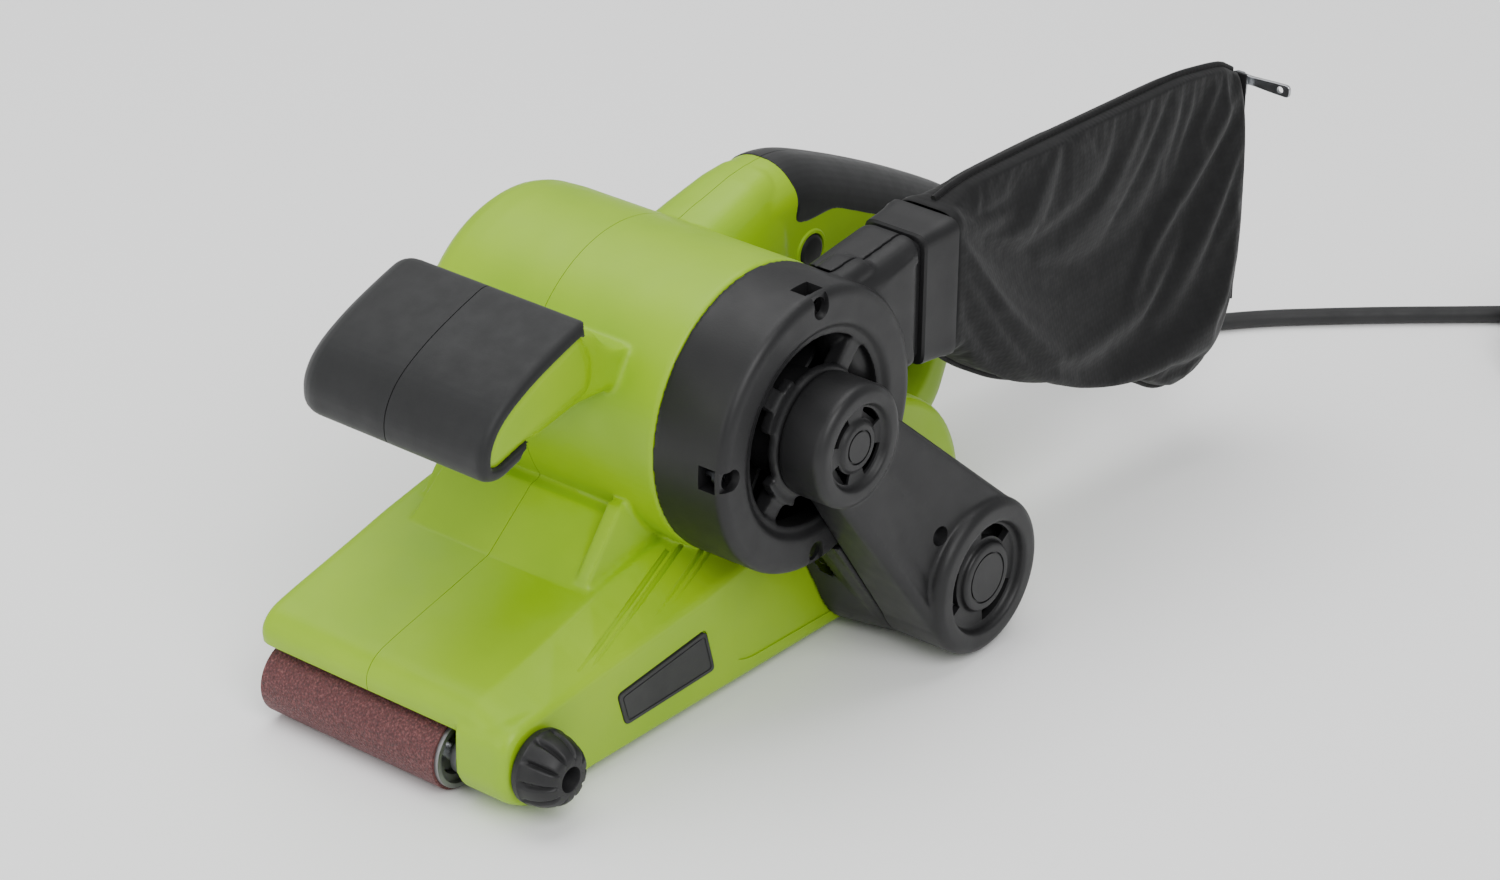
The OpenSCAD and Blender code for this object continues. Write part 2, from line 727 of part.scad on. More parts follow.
module tension_pivot() {
    color("silver") {
        translate([lever_x, lever_y, shelf_z0]) cylinder(r = 3 - seat_gap, h = lever_z0 + lever_h - shelf_z0 + 0.4);
        translate([lever_x, lever_y, lever_z0 + lever_h + part_gap]) cylinder(r = 5, h = 1.5);
    }
}

// Fluted cone of the tracking knob
module tracking_knob() {
    flutes = 9;
    color([0.14, 0.14, 0.15]) difference() {
        translate([knob_x, near_y - 0.4, knob_z]) rotate([90, 0, 0]) {
            cylinder(r = knob_r, h = 4);
            translate([0, 0, 4]) cylinder(r1 = knob_r, r2 = knob_r - 4, h = knob_len - 4);
        }
        for (k = [0:flutes - 1])
            translate([knob_x, near_y - 4, knob_z]) rotate([0, k * 360 / flutes, 0])
                translate([knob_r - 0.6, 0, 0]) rotate([90, 0, -18]) cylinder(r = 1.2, h = knob_len);
        rod(knob_x, knob_z, 3.4, near_y - 0.4 - knob_len - 1, near_y - 0.4 - knob_len + 7);
        rod(knob_x, knob_z, 3 + seat_gap, near_y - 0.4 - knob_len, near_y);
    }
}

module tracking_screw() {
    color("silver") rod(knob_x, knob_z, 3, near_y - knob_len + 7.6, box_y - 1);
}

module drive_roller_core() {
    r = drive_roller_r - drive_rubber_t;
    color("silver") difference() {
        rod(rear_x, drive_z, r, roller_near_y, belt_edge);
        rod(rear_x, drive_z, drive_shaft_r + seat_gap, roller_near_y - 1, belt_edge + 1);
        for (y = [roller_near_y - 1, belt_edge - 9])
            ring(rear_x, drive_z, r - 3, drive_shaft_r + 5, y, y + 10);
    }
}

module drive_roller_rubber() {
    color([0.1, 0.1, 0.1])
        ring(rear_x, drive_z, drive_roller_r, drive_roller_r - drive_rubber_t + seat_gap,
            roller_near_y, belt_edge);
}

module drive_shaft() {
    color("silver") rod(rear_x, drive_z, drive_shaft_r, pulley_y0 - 5, belt_edge - 1);
}

module bearing(x, z, bore, y0) {
    ring(x, z, 13, bore + run_gap, y0, y0 + bearing_w);
}

module drive_bearings() {
    color("gray") for (y = [near_y, plate_y - 9])
        bearing(rear_x, drive_z, drive_shaft_r, y);
}

// Ribbed pulley: grooves run round it
module pulley(x, z, r, bore) {
    ribs = 4;
    difference() {
        ring(x, z, r, bore + seat_gap, pulley_y0, pulley_y1);
        for (k = [0:ribs - 1])
            ring(x, z, r + 1, r - 1.2, pulley_y0 + 1.6 + 2.4 * k, pulley_y0 + 2.6 + 2.4 * k);
    }
}

module driven_pulley() {
    color("gray") pulley(rear_x, drive_z, driven_pulley_r, drive_shaft_r);
}

module pulley_nut() {
    color("silver") difference() {
        translate([rear_x, pulley_y0, drive_z]) rotate([90, 0, 0]) cylinder(r = 8.5, h = 4.5, $fn = 6);
        rod(rear_x, drive_z, drive_shaft_r + seat_gap, pulley_y0 - 6, pulley_y0 + 1);
    }
}

module drive_belt() {
    color([0.1, 0.1, 0.1]) across(pulley_y0 + 0.5, pulley_y0 + 0.5 + drive_belt_w) difference() {
        drive_link(part_gap + 2);
        drive_link(part_gap);
    }
}

module motor_pulley() {
    color("gray") pulley(motor_x, motor_z, motor_pulley_r, motor_shaft_r);
}

module armature_shaft() {
    color("silver") rod(motor_x, motor_z, motor_shaft_r, pulley_y0 - 1, barrel_far_y - wall - 1);
}

// Slotted iron core of the armature
module armature_core() {
    slots = 12;
    color("saddlebrown") difference() {
        rod(motor_x, motor_z, armature_r, core_y0, core_y1);
        rod(motor_x, motor_z, motor_shaft_r + seat_gap, core_y0 - 1, core_y1 + 1);
        for (k = [0:slots - 1])
            translate([motor_x, core_y0 - 1, motor_z]) rotate([0, k * 360 / slots, 0])
                translate([armature_r - 8, 0, -1]) cube([10, core_y1 - core_y0 + 2, 2]);
    }
}

core_y0 = barrel_near_y + 16;
core_y1 = core_y0 + 46;
comm_y0 = core_y1 + 8;
comm_y1 = comm_y0 + 16;
comm_r = 13;
brush_y = (comm_y0 + comm_y1) / 2;

module commutator() {
    color("chocolate") ring(motor_x, motor_z, comm_r, motor_shaft_r + seat_gap, comm_y0, comm_y1);
}

module cooling_fan() {
    blades = 9;
    y0 = fan_face_y + 17;
    color("dimgray") {
        ring(motor_x, motor_z, barrel_r - wall - 5, motor_shaft_r + seat_gap, y0 + 12, y0 + 14);
        ring(motor_x, motor_z, 9, motor_shaft_r + seat_gap, y0, y0 + 12.5);
        for (k = [0:blades - 1])
            translate([motor_x, y0, motor_z]) rotate([0, k * 360 / blades, 0])
                translate([14, 0, -0.8]) cube([barrel_r - wall - 5 - 15, 12.5, 1.6]);
    }
}

module motor_bearings() {
    color("gray") {
        bearing(motor_x, motor_z, motor_shaft_r, fan_face_y + 6.5);
        bearing(motor_x, motor_z, motor_shaft_r, barrel_far_y - wall - 9);
    }
}

// Iron of the field, gripped by the housing
module stator_core() {
    color("gray") difference() {
        union() {
            ring(motor_x, motor_z, stator_r, stator_r - 6, core_y0 + 2, core_y1 - 2);
            for (side = [-1, 1])
                difference() {
                    translate([motor_x - 15, core_y0 + 2, motor_z + side * (stator_r - 3) - 8])
                        translate([0, 0, -side * 8]) cube([30, core_y1 - core_y0 - 4, 16]);
                    rod(motor_x, motor_z, armature_r + 0.7, core_y0, core_y1);
                }
        }
        rod(motor_x, motor_z, armature_r + 0.7, core_y0, core_y1);
        difference() {
            rod(motor_x, motor_z, 90, core_y0, core_y1);
            rod(motor_x, motor_z, stator_r, core_y0 - 1, core_y1 + 1);
        }
    }
}

module field_coils() {
    color("darkorange") for (side = [-1, 1])
        difference() {
            translate([motor_x - 24, core_y0 - 3, motor_z + side * 27 - 4.5])
                cube([48, core_y1 - core_y0 + 6, 9]);
            translate([motor_x - 15.3, core_y0 + 1.7, motor_z + side * 27 - 6])
                cube([30.6, core_y1 - core_y0 - 3.4, 12]);
            rod(motor_x, motor_z, armature_r + 1, core_y0 - 5, core_y1 + 5);
            difference() {
                rod(motor_x, motor_z, 90, core_y0 - 9, core_y1 + 9);
                rod(motor_x, motor_z, stator_r - 6.2, core_y0 - 10, core_y1 + 10);
            }
        }
}

module brush_holders() {
    color("goldenrod") for (side = [-1, 1])
        translate([motor_x, brush_y, motor_z]) rotate([0, side < 0 ? 180 : 0, 0]) difference() {
            translate([comm_r + 2, -5.5, -5]) cube([barrel_r - wall - comm_r - 3, 11, 10]);
            translate([comm_r + 1, -3.5, -3]) cube([barrel_r, 7, 6]);
        }
}

module carbon_brushes() {
    color([0.12, 0.12, 0.13]) for (side = [-1, 1])
        translate([motor_x, brush_y, motor_z]) rotate([0, side < 0 ? 180 : 0, 0])
            translate([comm_r + 0.4, -3.4, -2.9]) cube([18, 6.8, 5.8]);
}

// Everything that lies square to the handle bar
module on_bar() {
    translate([trigger_x, seam_y, trigger_z]) rotate([0, -bar_angle, 0]) children();
}

module trigger() {
    color([0.14, 0.14, 0.15]) on_bar() difference() {
        union() {
            translate([-20.7, -7, -11.5]) cube([41.4, 14, 14]);
            translate([-12, -4, 0]) cube([24, 8, 5]);
        }
        translate([-2, -9, -40.5]) rotate([-90, 0, 0]) cylinder(r = 30, h = 18, $fn = 96);
    }
}

module lock_button() {
    color([0.12, 0.12, 0.13]) rod(lock_x, lock_z, lock_r, handle_y0 - 1.2, seam_y - 2 - lock_travel - part_gap);
}

module switch_body() {
    color("dimgray") on_bar() translate([-22, -8.7, 5 + trigger_travel + part_gap + 0.4])
        cube([48, 17.4, 20 - trigger_travel - part_gap - 0.6]);
}

// Collar that slips over the duct's spigot, with the bag clamped to it
module bag_collar() {
    color([0.15, 0.15, 0.16]) difference() {
        union() {
            spigot(0, duct_x1 + part_gap, bag_x0);
            spigot(-1.5, duct_x1 + 8, bag_x0);
        }
        spigot(duct_t - part_gap, duct_x1, duct_x1 + spigot_len + part_gap);
        spigot(duct_t + 2, duct_x1, bag_x0 + 1);
    }
}

module dust_bag() {
    color([0.1, 0.1, 0.1]) intersection() {
        across(bag_y - bag_w / 2, bag_y + bag_w / 2) polygon([
            [bag_x0, duct_z0], [bag_x0, duct_z1 + 2], [bag_x0 + 20, duct_z1 + 6],
            [bag_x0 + bag_len - 40, duct_z1 + 3], [bag_x0 + bag_len - 3, duct_z1 - 5],
            [bag_x0 + bag_len, duct_z1 - 102], [bag_x0 + bag_len - 25, duct_z1 - 121],
            [bag_x0 + bag_len - 42, duct_z1 - 120], [bag_x0 + bag_len - 57, duct_z1 - 110],
            [bag_x0 + 40, duct_z1 - 77], [bag_x0 + 16, duct_z1 - 62]]);
        // the filled bag is widest at mid-height and closes to a ridge above and below
        translate([bag_x0 - 1, bag_y, 0]) rotate([90, 0, 90]) linear_extrude(bag_len + 2) polygon([
            [-bag_w / 2, duct_z1 - 96], [-bag_w / 2, duct_z1 - 14], [-8, duct_z1 + 7],
            [8, duct_z1 + 7], [bag_w / 2, duct_z1 - 14], [bag_w / 2, duct_z1 - 96],
            [10, duct_z1 - 123], [-10, duct_z1 - 123]]);
    }
}

zip_x = bag_x0 + bag_len;
zip_z = duct_z1 - 13;

module bag_zip() {
    color("dimgray") {
        block(zip_x, zip_x + 1.6, bag_y - 4, bag_y + 4, duct_z1 - 98, duct_z1 - 19);
        block(zip_x, zip_x + 3.4, bag_y - 3, bag_y + 3, duct_z1 - 19, duct_z1 - 9);
    }
}

module zip_pull() {
    color("silver") difference() {
        union() {
            block(zip_x + 3.8, zip_x + 5.2, bag_y - 20, bag_y, zip_z - 2.5, zip_z + 2.5);
            translate([zip_x + 3.8, bag_y, zip_z]) rotate([0, 90, 0]) cylinder(r = 2.5, h = 1.4);
        }
        translate([zip_x + 3, bag_y - 16, zip_z]) rotate([0, 90, 0]) cylinder(r = 1.3, h = 3);
    }
}

// Tapered strain relief where the cord leaves the handle
module cord_guard() {
    color([0.1, 0.1, 0.1]) translate(guard_base) rotate([0, 90 + cord_tilt, 0]) {
        translate([0, 0, -8]) cylinder(r = 5.2 - seat_gap, h = 18);
        translate([0, 0, 10]) cylinder(r1 = 6.6, r2 = cord_d / 2 + 0.9, h = guard_len - 10);
    }
}

module cord_clamp() {
    color("dimgray") block(motor_x + 158.5, motor_x + 163, seam_y - 3.4, seam_y + 3.4, motor_z - 28, motor_z - 22);
}

// A round tube swept along a list of points
function unit(v) = v / norm(v);
function heading(p, i) = unit(p[min(i + 1, len(p) - 1)] - p[max(i - 1, 0)]);
function tube_ring(p, i, r, sides) =
    let (d = heading(p, i), s = unit(cross(d, [0, 0, 1])), u = cross(s, d))
    [for (k = [0:sides - 1]) p[i] + r * (cos(360 * k / sides) * s + sin(360 * k / sides) * u)];

module tube(p, r, sides) {
    n = len(p);
    polyhedron(
        points = [for (i = [0:n - 1]) each tube_ring(p, i, r, sides)],
        faces = concat(
            [[for (k = [sides - 1:-1:0]) k]],
            [for (i = [0:n - 2], k = [0:sides - 1])
                [i * sides + k, i * sides + (k + 1) % sides,
                    (i + 1) * sides + (k + 1) % sides, (i + 1) * sides + k]],
            [[for (k = [0:sides - 1]) (n - 1) * sides + k]]));
}

module mains_cord() {
    color([0.08, 0.08, 0.08]) {
        tube(cord_route, cord_d / 2, 10);
        tube(plug_lead, cord_d / 2, 10);
    }
}

module cord_coil() {
    color([0.08, 0.08, 0.08]) translate([coil_centre[0], coil_centre[1], coil_z])
        rotate_extrude() translate([coil_mid_r - coil_section / 2, 0]) square(coil_section);
}

module cord_tie() {
    color([0.3, 0.3, 0.3]) translate([coil_centre[0], coil_centre[1] + coil_mid_r, 0]) difference() {
        block(-6, 6, -coil_section / 2 - 2.2, coil_section / 2 + 2.2, 0, coil_section + 2 * coil_z);
        block(-7, 7, -coil_section / 2 - 1.4, coil_section / 2 + 1.4, coil_z, coil_section + coil_z);
    }
}

plug_x = coil_centre[0] - 0.5;
plug_y = coil_centre[1] + 3;
plug_z = coil_section + 2 * coil_z + 0.1;

// Moulded three-pin plug lying on the coil, pins up
module plug_body() {
    color([0.08, 0.08, 0.08]) difference() {
        block(plug_x - 28, plug_x + 20, plug_y - 25, plug_y + 25, plug_z, plug_z + 20);
        for (s = [-1, 1]) translate([plug_x - 28, plug_y + s * 25, plug_z - 1]) rotate([0, 0, 45])
            translate([-6, -6, 0]) cube([12, 12, 22]);
    }
}

module plug_pins() {
    color("gold") {
        for (s = [-1, 1])
            block(plug_x - 18, plug_x - 14, plug_y + s * 11.1 - 3.2, plug_y + s * 11.1 + 3.2,
                plug_z + 20, plug_z + 37.7);
        block(plug_x + 6.2 - 4, plug_x + 6.2 + 4, plug_y - 2, plug_y + 2, plug_z + 20, plug_z + 42.7);
    }
}

housing_left();
housing_right();
housing_screws();
name_plate();
front_grip_left();
front_grip_right();
rear_grip_left();
rear_grip_right();
fan_housing();
fan_housing_screws();
duct_back();
belt_case();
drive_cover();
cover_screws();
frame_plate();
platen_plate();
platen_pad();
sanding_belt();
front_roller();
front_roller_bearings();
front_fork();
front_axle();
tension_spring();
tension_lever();
tension_pivot();
tracking_knob();
tracking_screw();
drive_roller_core();
drive_roller_rubber();
drive_shaft();
drive_bearings();
driven_pulley();
pulley_nut();
drive_belt();
motor_pulley();
armature_shaft();
armature_core();
commutator();
cooling_fan();
motor_bearings();
stator_core();
field_coils();
brush_holders();
carbon_brushes();
trigger();
lock_button();
switch_body();
bag_collar();
dust_bag();
bag_zip();
zip_pull();
cord_guard();
cord_clamp();
mains_cord();
cord_coil();
cord_tie();
plug_body();
plug_pins();
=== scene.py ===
import json
import math
import bpy
import bmesh
from mathutils import Matrix, Vector


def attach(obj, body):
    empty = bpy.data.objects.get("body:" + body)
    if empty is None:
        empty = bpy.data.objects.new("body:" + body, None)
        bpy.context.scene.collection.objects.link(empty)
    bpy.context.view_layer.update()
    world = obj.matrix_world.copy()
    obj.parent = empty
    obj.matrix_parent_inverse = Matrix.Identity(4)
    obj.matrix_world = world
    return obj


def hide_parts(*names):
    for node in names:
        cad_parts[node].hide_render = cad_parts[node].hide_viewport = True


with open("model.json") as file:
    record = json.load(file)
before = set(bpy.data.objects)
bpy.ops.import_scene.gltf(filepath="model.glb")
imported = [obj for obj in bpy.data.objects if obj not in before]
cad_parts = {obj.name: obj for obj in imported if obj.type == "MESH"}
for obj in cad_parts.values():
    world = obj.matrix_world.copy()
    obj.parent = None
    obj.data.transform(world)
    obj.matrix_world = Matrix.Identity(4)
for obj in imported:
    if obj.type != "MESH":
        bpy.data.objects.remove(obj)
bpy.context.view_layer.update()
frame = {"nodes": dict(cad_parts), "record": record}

mm = 0.001
motorX, motorZ = 27.0, 99.0  # axis of the motor, in millimetres in the row frame
driveX, driveZ = 87.5, 29.3  # axis of the drive roller
frontX, frontZ = -87.5, 13.3  # axis of the front roller
seamY = -6.0  # where the two halves of the casing meet
nearY = -67.0  # outer face of the casing on the drive side
motorAxis, driveAxis = (motorX, motorZ), (driveX, driveZ)
rollers = [(frontX, frontZ, 12), (driveX, driveZ, 28)]


def linearColour(code):
    parts = [int(code[k:k + 2], 16) / 255 for k in (1, 3, 5)]
    return [p / 12.92 if p <= 0.04045 else ((p + 0.055) / 1.055) ** 2.4 for p in parts] + [1.0]


# one node with its settings, and links given as {input: output socket}
def addNode(material, kind, settings=None, links=None):
    node = material.node_tree.nodes.new(kind)
    for key, value in (settings or {}).items():
        if isinstance(key, int) or key in node.inputs:
            node.inputs[key].default_value = value
        else:
            setattr(node, key, value)
    for key, source in (links or {}).items():
        material.node_tree.links.new(source, node.inputs[key])
    return node


def newMaterial(name, **settings):
    material = bpy.data.materials.new(name)
    material.use_nodes = True
    material.node_tree.nodes.clear()
    shader = addNode(material, "ShaderNodeBsdfPrincipled", settings)
    addNode(material, "ShaderNodeOutputMaterial", links={"Surface": shader.outputs[0]})
    place = addNode(material, "ShaderNodeTexCoord").outputs["Object"]
    return material, shader, place


def noiseAt(material, place, sizeMm, detail=2.0, stretch=(1, 1, 1)):
    if stretch != (1, 1, 1):
        place = addNode(material, "ShaderNodeMapping", {"Scale": stretch}, {"Vector": place}).outputs[0]
    return addNode(material, "ShaderNodeTexNoise", {"Scale": 1000 / sizeMm, "Detail": detail},
                   {"Vector": place}).outputs["Fac"]


def rampOf(material, source, stops):
    node = addNode(material, "ShaderNodeValToRGB", links={"Fac": source})
    ramp = node.color_ramp
    while len(ramp.elements) < len(stops):
        ramp.elements.new(0.5)
    for element, (place, colour) in zip(ramp.elements, stops):
        element.position = place
        element.color = linearColour(colour) if isinstance(colour, str) else (colour, colour, colour, 1)
    return node.outputs["Color"]


def bumpOf(material, shader, height, depthMm, strength):
    bump = addNode(material, "ShaderNodeBump", {"Strength": strength, "Distance": depthMm * mm},
                   {"Height": height})
    material.node_tree.links.new(bump.outputs[0], shader.inputs["Normal"])


# a noise-driven colour or gloss on one socket of the shader
def tinted(material, shader, place, sizeMm, detail, stops, socket="Base Color"):
    tone = rampOf(material, noiseAt(material, place, sizeMm, detail), stops)
    material.node_tree.links.new(tone, shader.inputs[socket])


# injection-moulded nylon: even colour, a fine spark-eroded grain, slightly cloudy gloss
def mouldedNylon(name, dark, light, gloss, grainMm, grainDepth):
    material, shader, place = newMaterial(name, **{"IOR": 1.5, "Specular IOR Level": 0.35})
    tinted(material, shader, place, 38, 3, [(0.3, dark), (0.7, light)])
    tinted(material, shader, place, 9, 4, [(0.3, gloss - 0.05), (0.75, gloss + 0.06)], "Roughness")
    bumpOf(material, shader, noiseAt(material, place, grainMm, 2), grainDepth, 0.55)
    return material


greenNylon = mouldedNylon("greenNylon", "#86AE04", "#90B60A", 0.44, 0.55, 0.035)
blackNylon = mouldedNylon("blackNylon", "#161617", "#1D1D1E", 0.46, 0.6, 0.05)
knobNylon = mouldedNylon("knobNylon", "#1A1A1B", "#202021", 0.5, 0.7, 0.04)
badgeNylon = mouldedNylon("badgeNylon", "#2A2A2B", "#313132", 0.5, 0.8, 0.06)


# soft-touch thermoplastic rubber, over-moulded: matt, with a soft bloom at grazing angles
def softTouch(name, dark, light):
    material, shader, place = newMaterial(name, **{"IOR": 1.5, "Specular IOR Level": 0.35,
                                                   "Sheen Weight": 0.12, "Sheen Roughness": 0.5})
    tinted(material, shader, place, 30, 3, [(0.3, dark), (0.7, light)])
    tinted(material, shader, place, 6, 3, [(0.3, 0.52), (0.75, 0.64)], "Roughness")
    bumpOf(material, shader, noiseAt(material, place, 0.5, 2), 0.04, 0.6)
    return material


gripRubber = softTouch("gripRubber", "#0F1011", "#151617")
cordRubber = softTouch("cordRubber", "#1B1B1C", "#232324")
rollerRubber = softTouch("rollerRubber", "#19191A", "#222223")


# turned, zinc-plated steel: bright, with fine tool marks
def platedSteel(name, tint, rough):
    material, shader, place = newMaterial(name, **{"Metallic": 1.0})
    tinted(material, shader, place, 12, 3, [(0.3, tint[0]), (0.7, tint[1])])
    tinted(material, shader, place, 3, 4, [(0.3, rough - 0.06), (0.7, rough + 0.08)], "Roughness")
    bumpOf(material, shader, noiseAt(material, place, 0.6, 3, (1, 6, 1)), 0.02, 0.5)
    return material


zincSteel = platedSteel("zincSteel", ("#A9ABAE", "#C2C4C6"), 0.32)
blackSteel = platedSteel("blackSteel", ("#2C2D2F", "#3E3F42"), 0.4)
turnedSteel = platedSteel("turnedSteel", ("#8E9093", "#A9ABAD"), 0.28)
copperWire = platedSteel("copperWire", ("#9C5A34", "#B97244"), 0.35)
stampedBrass = platedSteel("stampedBrass", ("#B59A5A", "#CDB478"), 0.3)


# sand-textured die casting: dull grey with soft grain
def dieCasting():
    material, shader, place = newMaterial("dieCastAluminium", **{"Metallic": 1.0})
    tinted(material, shader, place, 16, 4, [(0.3, "#8B8C8E"), (0.7, "#A3A4A6")])
    tinted(material, shader, place, 4, 4, [(0.3, 0.42), (0.7, 0.58)], "Roughness")
    bumpOf(material, shader, noiseAt(material, place, 0.9, 3), 0.06, 0.6)
    return material


dieCastAluminium = dieCasting()


# aluminium oxide grit on brown cloth: 80 grit is 0.2 mm grains, drawn at 0.7 mm so that they show
def abrasive():
    material, shader, place = newMaterial("abrasiveCloth", **{"IOR": 1.6, "Specular IOR Level": 0.4})
    grit = addNode(material, "ShaderNodeTexVoronoi", {"Scale": 1000 / 0.7}, {"Vector": place})
    tinted(material, shader, place, 0.8, 3, [(0.3, "#3A1D1E"), (0.55, "#5A2C2D"), (0.75, "#80504E")])
    tinted(material, shader, place, 0.7, 2, [(0.3, 0.45), (0.7, 0.8)], "Roughness")
    bumpOf(material, shader, grit.outputs["Distance"], 0.25, 0.9)
    return material


# the cloth back and cut edge of the belt: brown-red twill
def beltCloth():
    material, shader, place = newMaterial("beltBackCloth", **{"IOR": 1.5, "Specular IOR Level": 0.3})
    weft = noiseAt(material, place, 0.8, 2, (1, 4, 1))
    tone = rampOf(material, weft, [(0.3, "#7A4A44"), (0.7, "#A07A70")])
    material.node_tree.links.new(tone, shader.inputs["Base Color"])
    shader.inputs["Roughness"].default_value = 0.85
    bumpOf(material, shader, weft, 0.12, 0.7)
    return material


abrasiveCloth = abrasive()
beltBackCloth = beltCloth()


# plain-woven polyester: threads 0.5 mm apart, drawn at 1.1 mm so that they show, with a dull sheen
def wovenPolyester():
    material, shader, place = newMaterial("wovenPolyester", **{"IOR": 1.5, "Specular IOR Level": 0.22,
            "Sheen Weight": 0.08, "Sheen Roughness": 0.5})
    waves = []
    for direction in ("X", "Z"):
        waves.append(addNode(material, "ShaderNodeTexWave",
                             {"wave_type": "BANDS", "bands_direction": direction,
                              "Scale": 1000 / 1.1 / 6.3, "Distortion": 0.4, "Detail": 1.0},
                             {"Vector": place}).outputs["Fac"])
    weave = addNode(material, "ShaderNodeMath", {"operation": "MULTIPLY"},
                    {0: waves[0], 1: waves[1]}).outputs[0]
    tone = rampOf(material, noiseAt(material, place, 25, 4), [(0.3, "#0D0D0E"), (0.7, "#131314")])
    threads = rampOf(material, weave, [(0.0, 0.86), (0.7, 1.0)])
    mixed = addNode(material, "ShaderNodeMix", {"data_type": "RGBA", "blend_type": "MULTIPLY", 0: 1.0})
    material.node_tree.links.new(tone, mixed.inputs[6])
    material.node_tree.links.new(threads, mixed.inputs[7])
    material.node_tree.links.new(mixed.outputs[2], shader.inputs["Base Color"])
    tinted(material, shader, place, 5, 3, [(0.3, 0.62), (0.7, 0.8)], "Roughness")
    bumpOf(material, shader, weave, 0.08, 0.5)
    return material


bagPolyester = wovenPolyester()


# pressed graphite and laminated iron of the motor: dark, slightly metallic
def laminatedIron(name, dark, light, metal, rough):
    material, shader, place = newMaterial(name, **{"Metallic": metal})
    layers = noiseAt(material, place, 0.7, 1, (0.02, 1, 0.02))
    tone = rampOf(material, layers, [(0.35, dark), (0.65, light)])
    material.node_tree.links.new(tone, shader.inputs["Base Color"])
    shader.inputs["Roughness"].default_value = rough
    bumpOf(material, shader, layers, 0.05, 0.5)
    return material


motorIron = laminatedIron("motorIron", "#4A4B4E", "#6A6B6E", 1.0, 0.45)
pressedGraphite = laminatedIron("pressedGraphite", "#1B1B1C", "#2A2A2B", 0.0, 0.5)
corkPad = laminatedIron("corkPad", "#7D6A50", "#9A8566", 0.0, 0.85)
strapWebbing = laminatedIron("strapWebbing", "#202021", "#2E2E30", 0.0, 0.9)

# camera first, then the cord
cameraFacts = {
    "turn": -51.15, "tilt": 27.53, "roll": 0.81, "lens": 110.4, "target": (102.78, 0, 35.85),
    "distance": 1593.5,
}


def placeCamera(facts):
    turn, tilt, roll = (math.radians(facts[k]) for k in ("turn", "tilt", "roll"))
    back = Vector((math.sin(turn) * math.cos(tilt), -math.cos(turn) * math.cos(tilt), math.sin(tilt)))
    level = Vector((math.cos(turn), math.sin(turn), 0))
    upright = back.cross(level)
    right = level * math.cos(roll) + upright * math.sin(roll)
    up = upright * math.cos(roll) - level * math.sin(roll)
    data = bpy.data.cameras.new("productCamera")
    data.lens, data.sensor_width, data.clip_start, data.clip_end = facts["lens"], 36, 0.05, 50
    cameraObject = bpy.data.objects.new("productCamera", data)
    bpy.context.scene.collection.objects.link(cameraObject)
    spot = Vector(facts["target"]) * mm + back * facts["distance"] * mm
    cameraObject.matrix_world = Matrix.Translation(spot) @ Matrix((right, up, back)).transposed().to_4x4()
    bpy.context.scene.camera = cameraObject


placeCamera(cameraFacts)
print("camera placed")

cordFacts = {
    "diameter": 6.4,
    # the free stretch, in millimetres, as in the part's source
    "route": [(242, -6, 41.9), (251.5, -6, 38.4), (261, -6.5, 34.6), (271, -7.5, 30), (281, -9, 24.6),
              (292, -11.5, 18), (303, -15, 11.6), (315, -19.5, 6.4), (327, -25, 4.1), (338, -31.5, 3.4),
              (349, -39.5, 3.3), (360, -49, 3.3), (371, -60, 3.3), (383, -72.5, 3.3), (395, -85.5, 3.3),
              (407, -99, 3.3), (420, -113.5, 3.3), (433, -128.5, 3.3), (446, -143.5, 3.3)],
    "centre": (413, -172), "firstAngle": 40.8, "outer": 43.4, "inner": 30.8, "turnStep": 15,
    # the end of the cord, from the coil up to the plug, about the coil's centre
    "lead": [(-1, -31, 20.2), (-10, -31.5, 23), (-19, -31, 25.5), (-28, -29, 27.5), (-36.5, -24, 29),
             (-43, -16.5, 30), (-46, -7, 30.6), (-43, 0.5, 30.9), (-36, 3, 30.9), (-28.5, 3, 30.9)],
}


# three layers of turns: in, out and in again, each a diameter above the last
def coilPoints(facts):
    outer, inner = facts["outer"], facts["inner"]
    d = facts["diameter"]
    spread = outer - inner
    points = []
    lastTurn = 6.32
    steps = int(lastTurn * 360 / facts["turnStep"])
    for k in range(1, steps + 1):
        t = k * facts["turnStep"] / 360
        if t < 2:
            r, z = outer - spread * t / 2, 4.0
        elif t < 2.2:
            r, z = inner, 4.0 + d * (t - 2) / 0.2
        elif t < 4.2:
            r, z = inner + spread * (t - 2.2) / 2, 4.0 + d
        elif t < 4.4:
            r, z = outer, 4.0 + d + d * (t - 4.2) / 0.2
        else:
            r, z = max(outer - spread * (t - 4.4) / 2, inner), 4.0 + 2 * d
        a = math.radians(facts["firstAngle"] - 360 * t)
        points.append((facts["centre"][0] + r * math.cos(a), facts["centre"][1] + r * math.sin(a), z))
    return points


def useMaterial(obj, *materials):
    obj.data.materials.clear()
    for m in materials:
        obj.data.materials.append(m)


def layCord(facts):
    centre = facts["centre"]
    points = list(facts["route"]) + coilPoints(facts)
    points += [(centre[0] + p[0], centre[1] + p[1], p[2]) for p in facts["lead"]]
    curve = bpy.data.curves.new("powerCord", "CURVE")
    curve.dimensions, curve.bevel_depth = "3D", facts["diameter"] / 2 * mm
    curve.bevel_resolution, curve.resolution_u, curve.use_fill_caps = 5, 4, True
    spline = curve.splines.new("BEZIER")
    spline.bezier_points.add(len(points) - 1)
    for knot, p in zip(spline.bezier_points, points):
        knot.co = Vector(p) * mm
        knot.handle_left_type = knot.handle_right_type = "AUTO"
    cordObject = bpy.data.objects.new("powerCord", curve)
    bpy.context.scene.collection.objects.link(cordObject)
    useMaterial(cordObject, cordRubber)
    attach(cordObject, "casing")
    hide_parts("mains_cord", "cord_coil")
    return cordObject


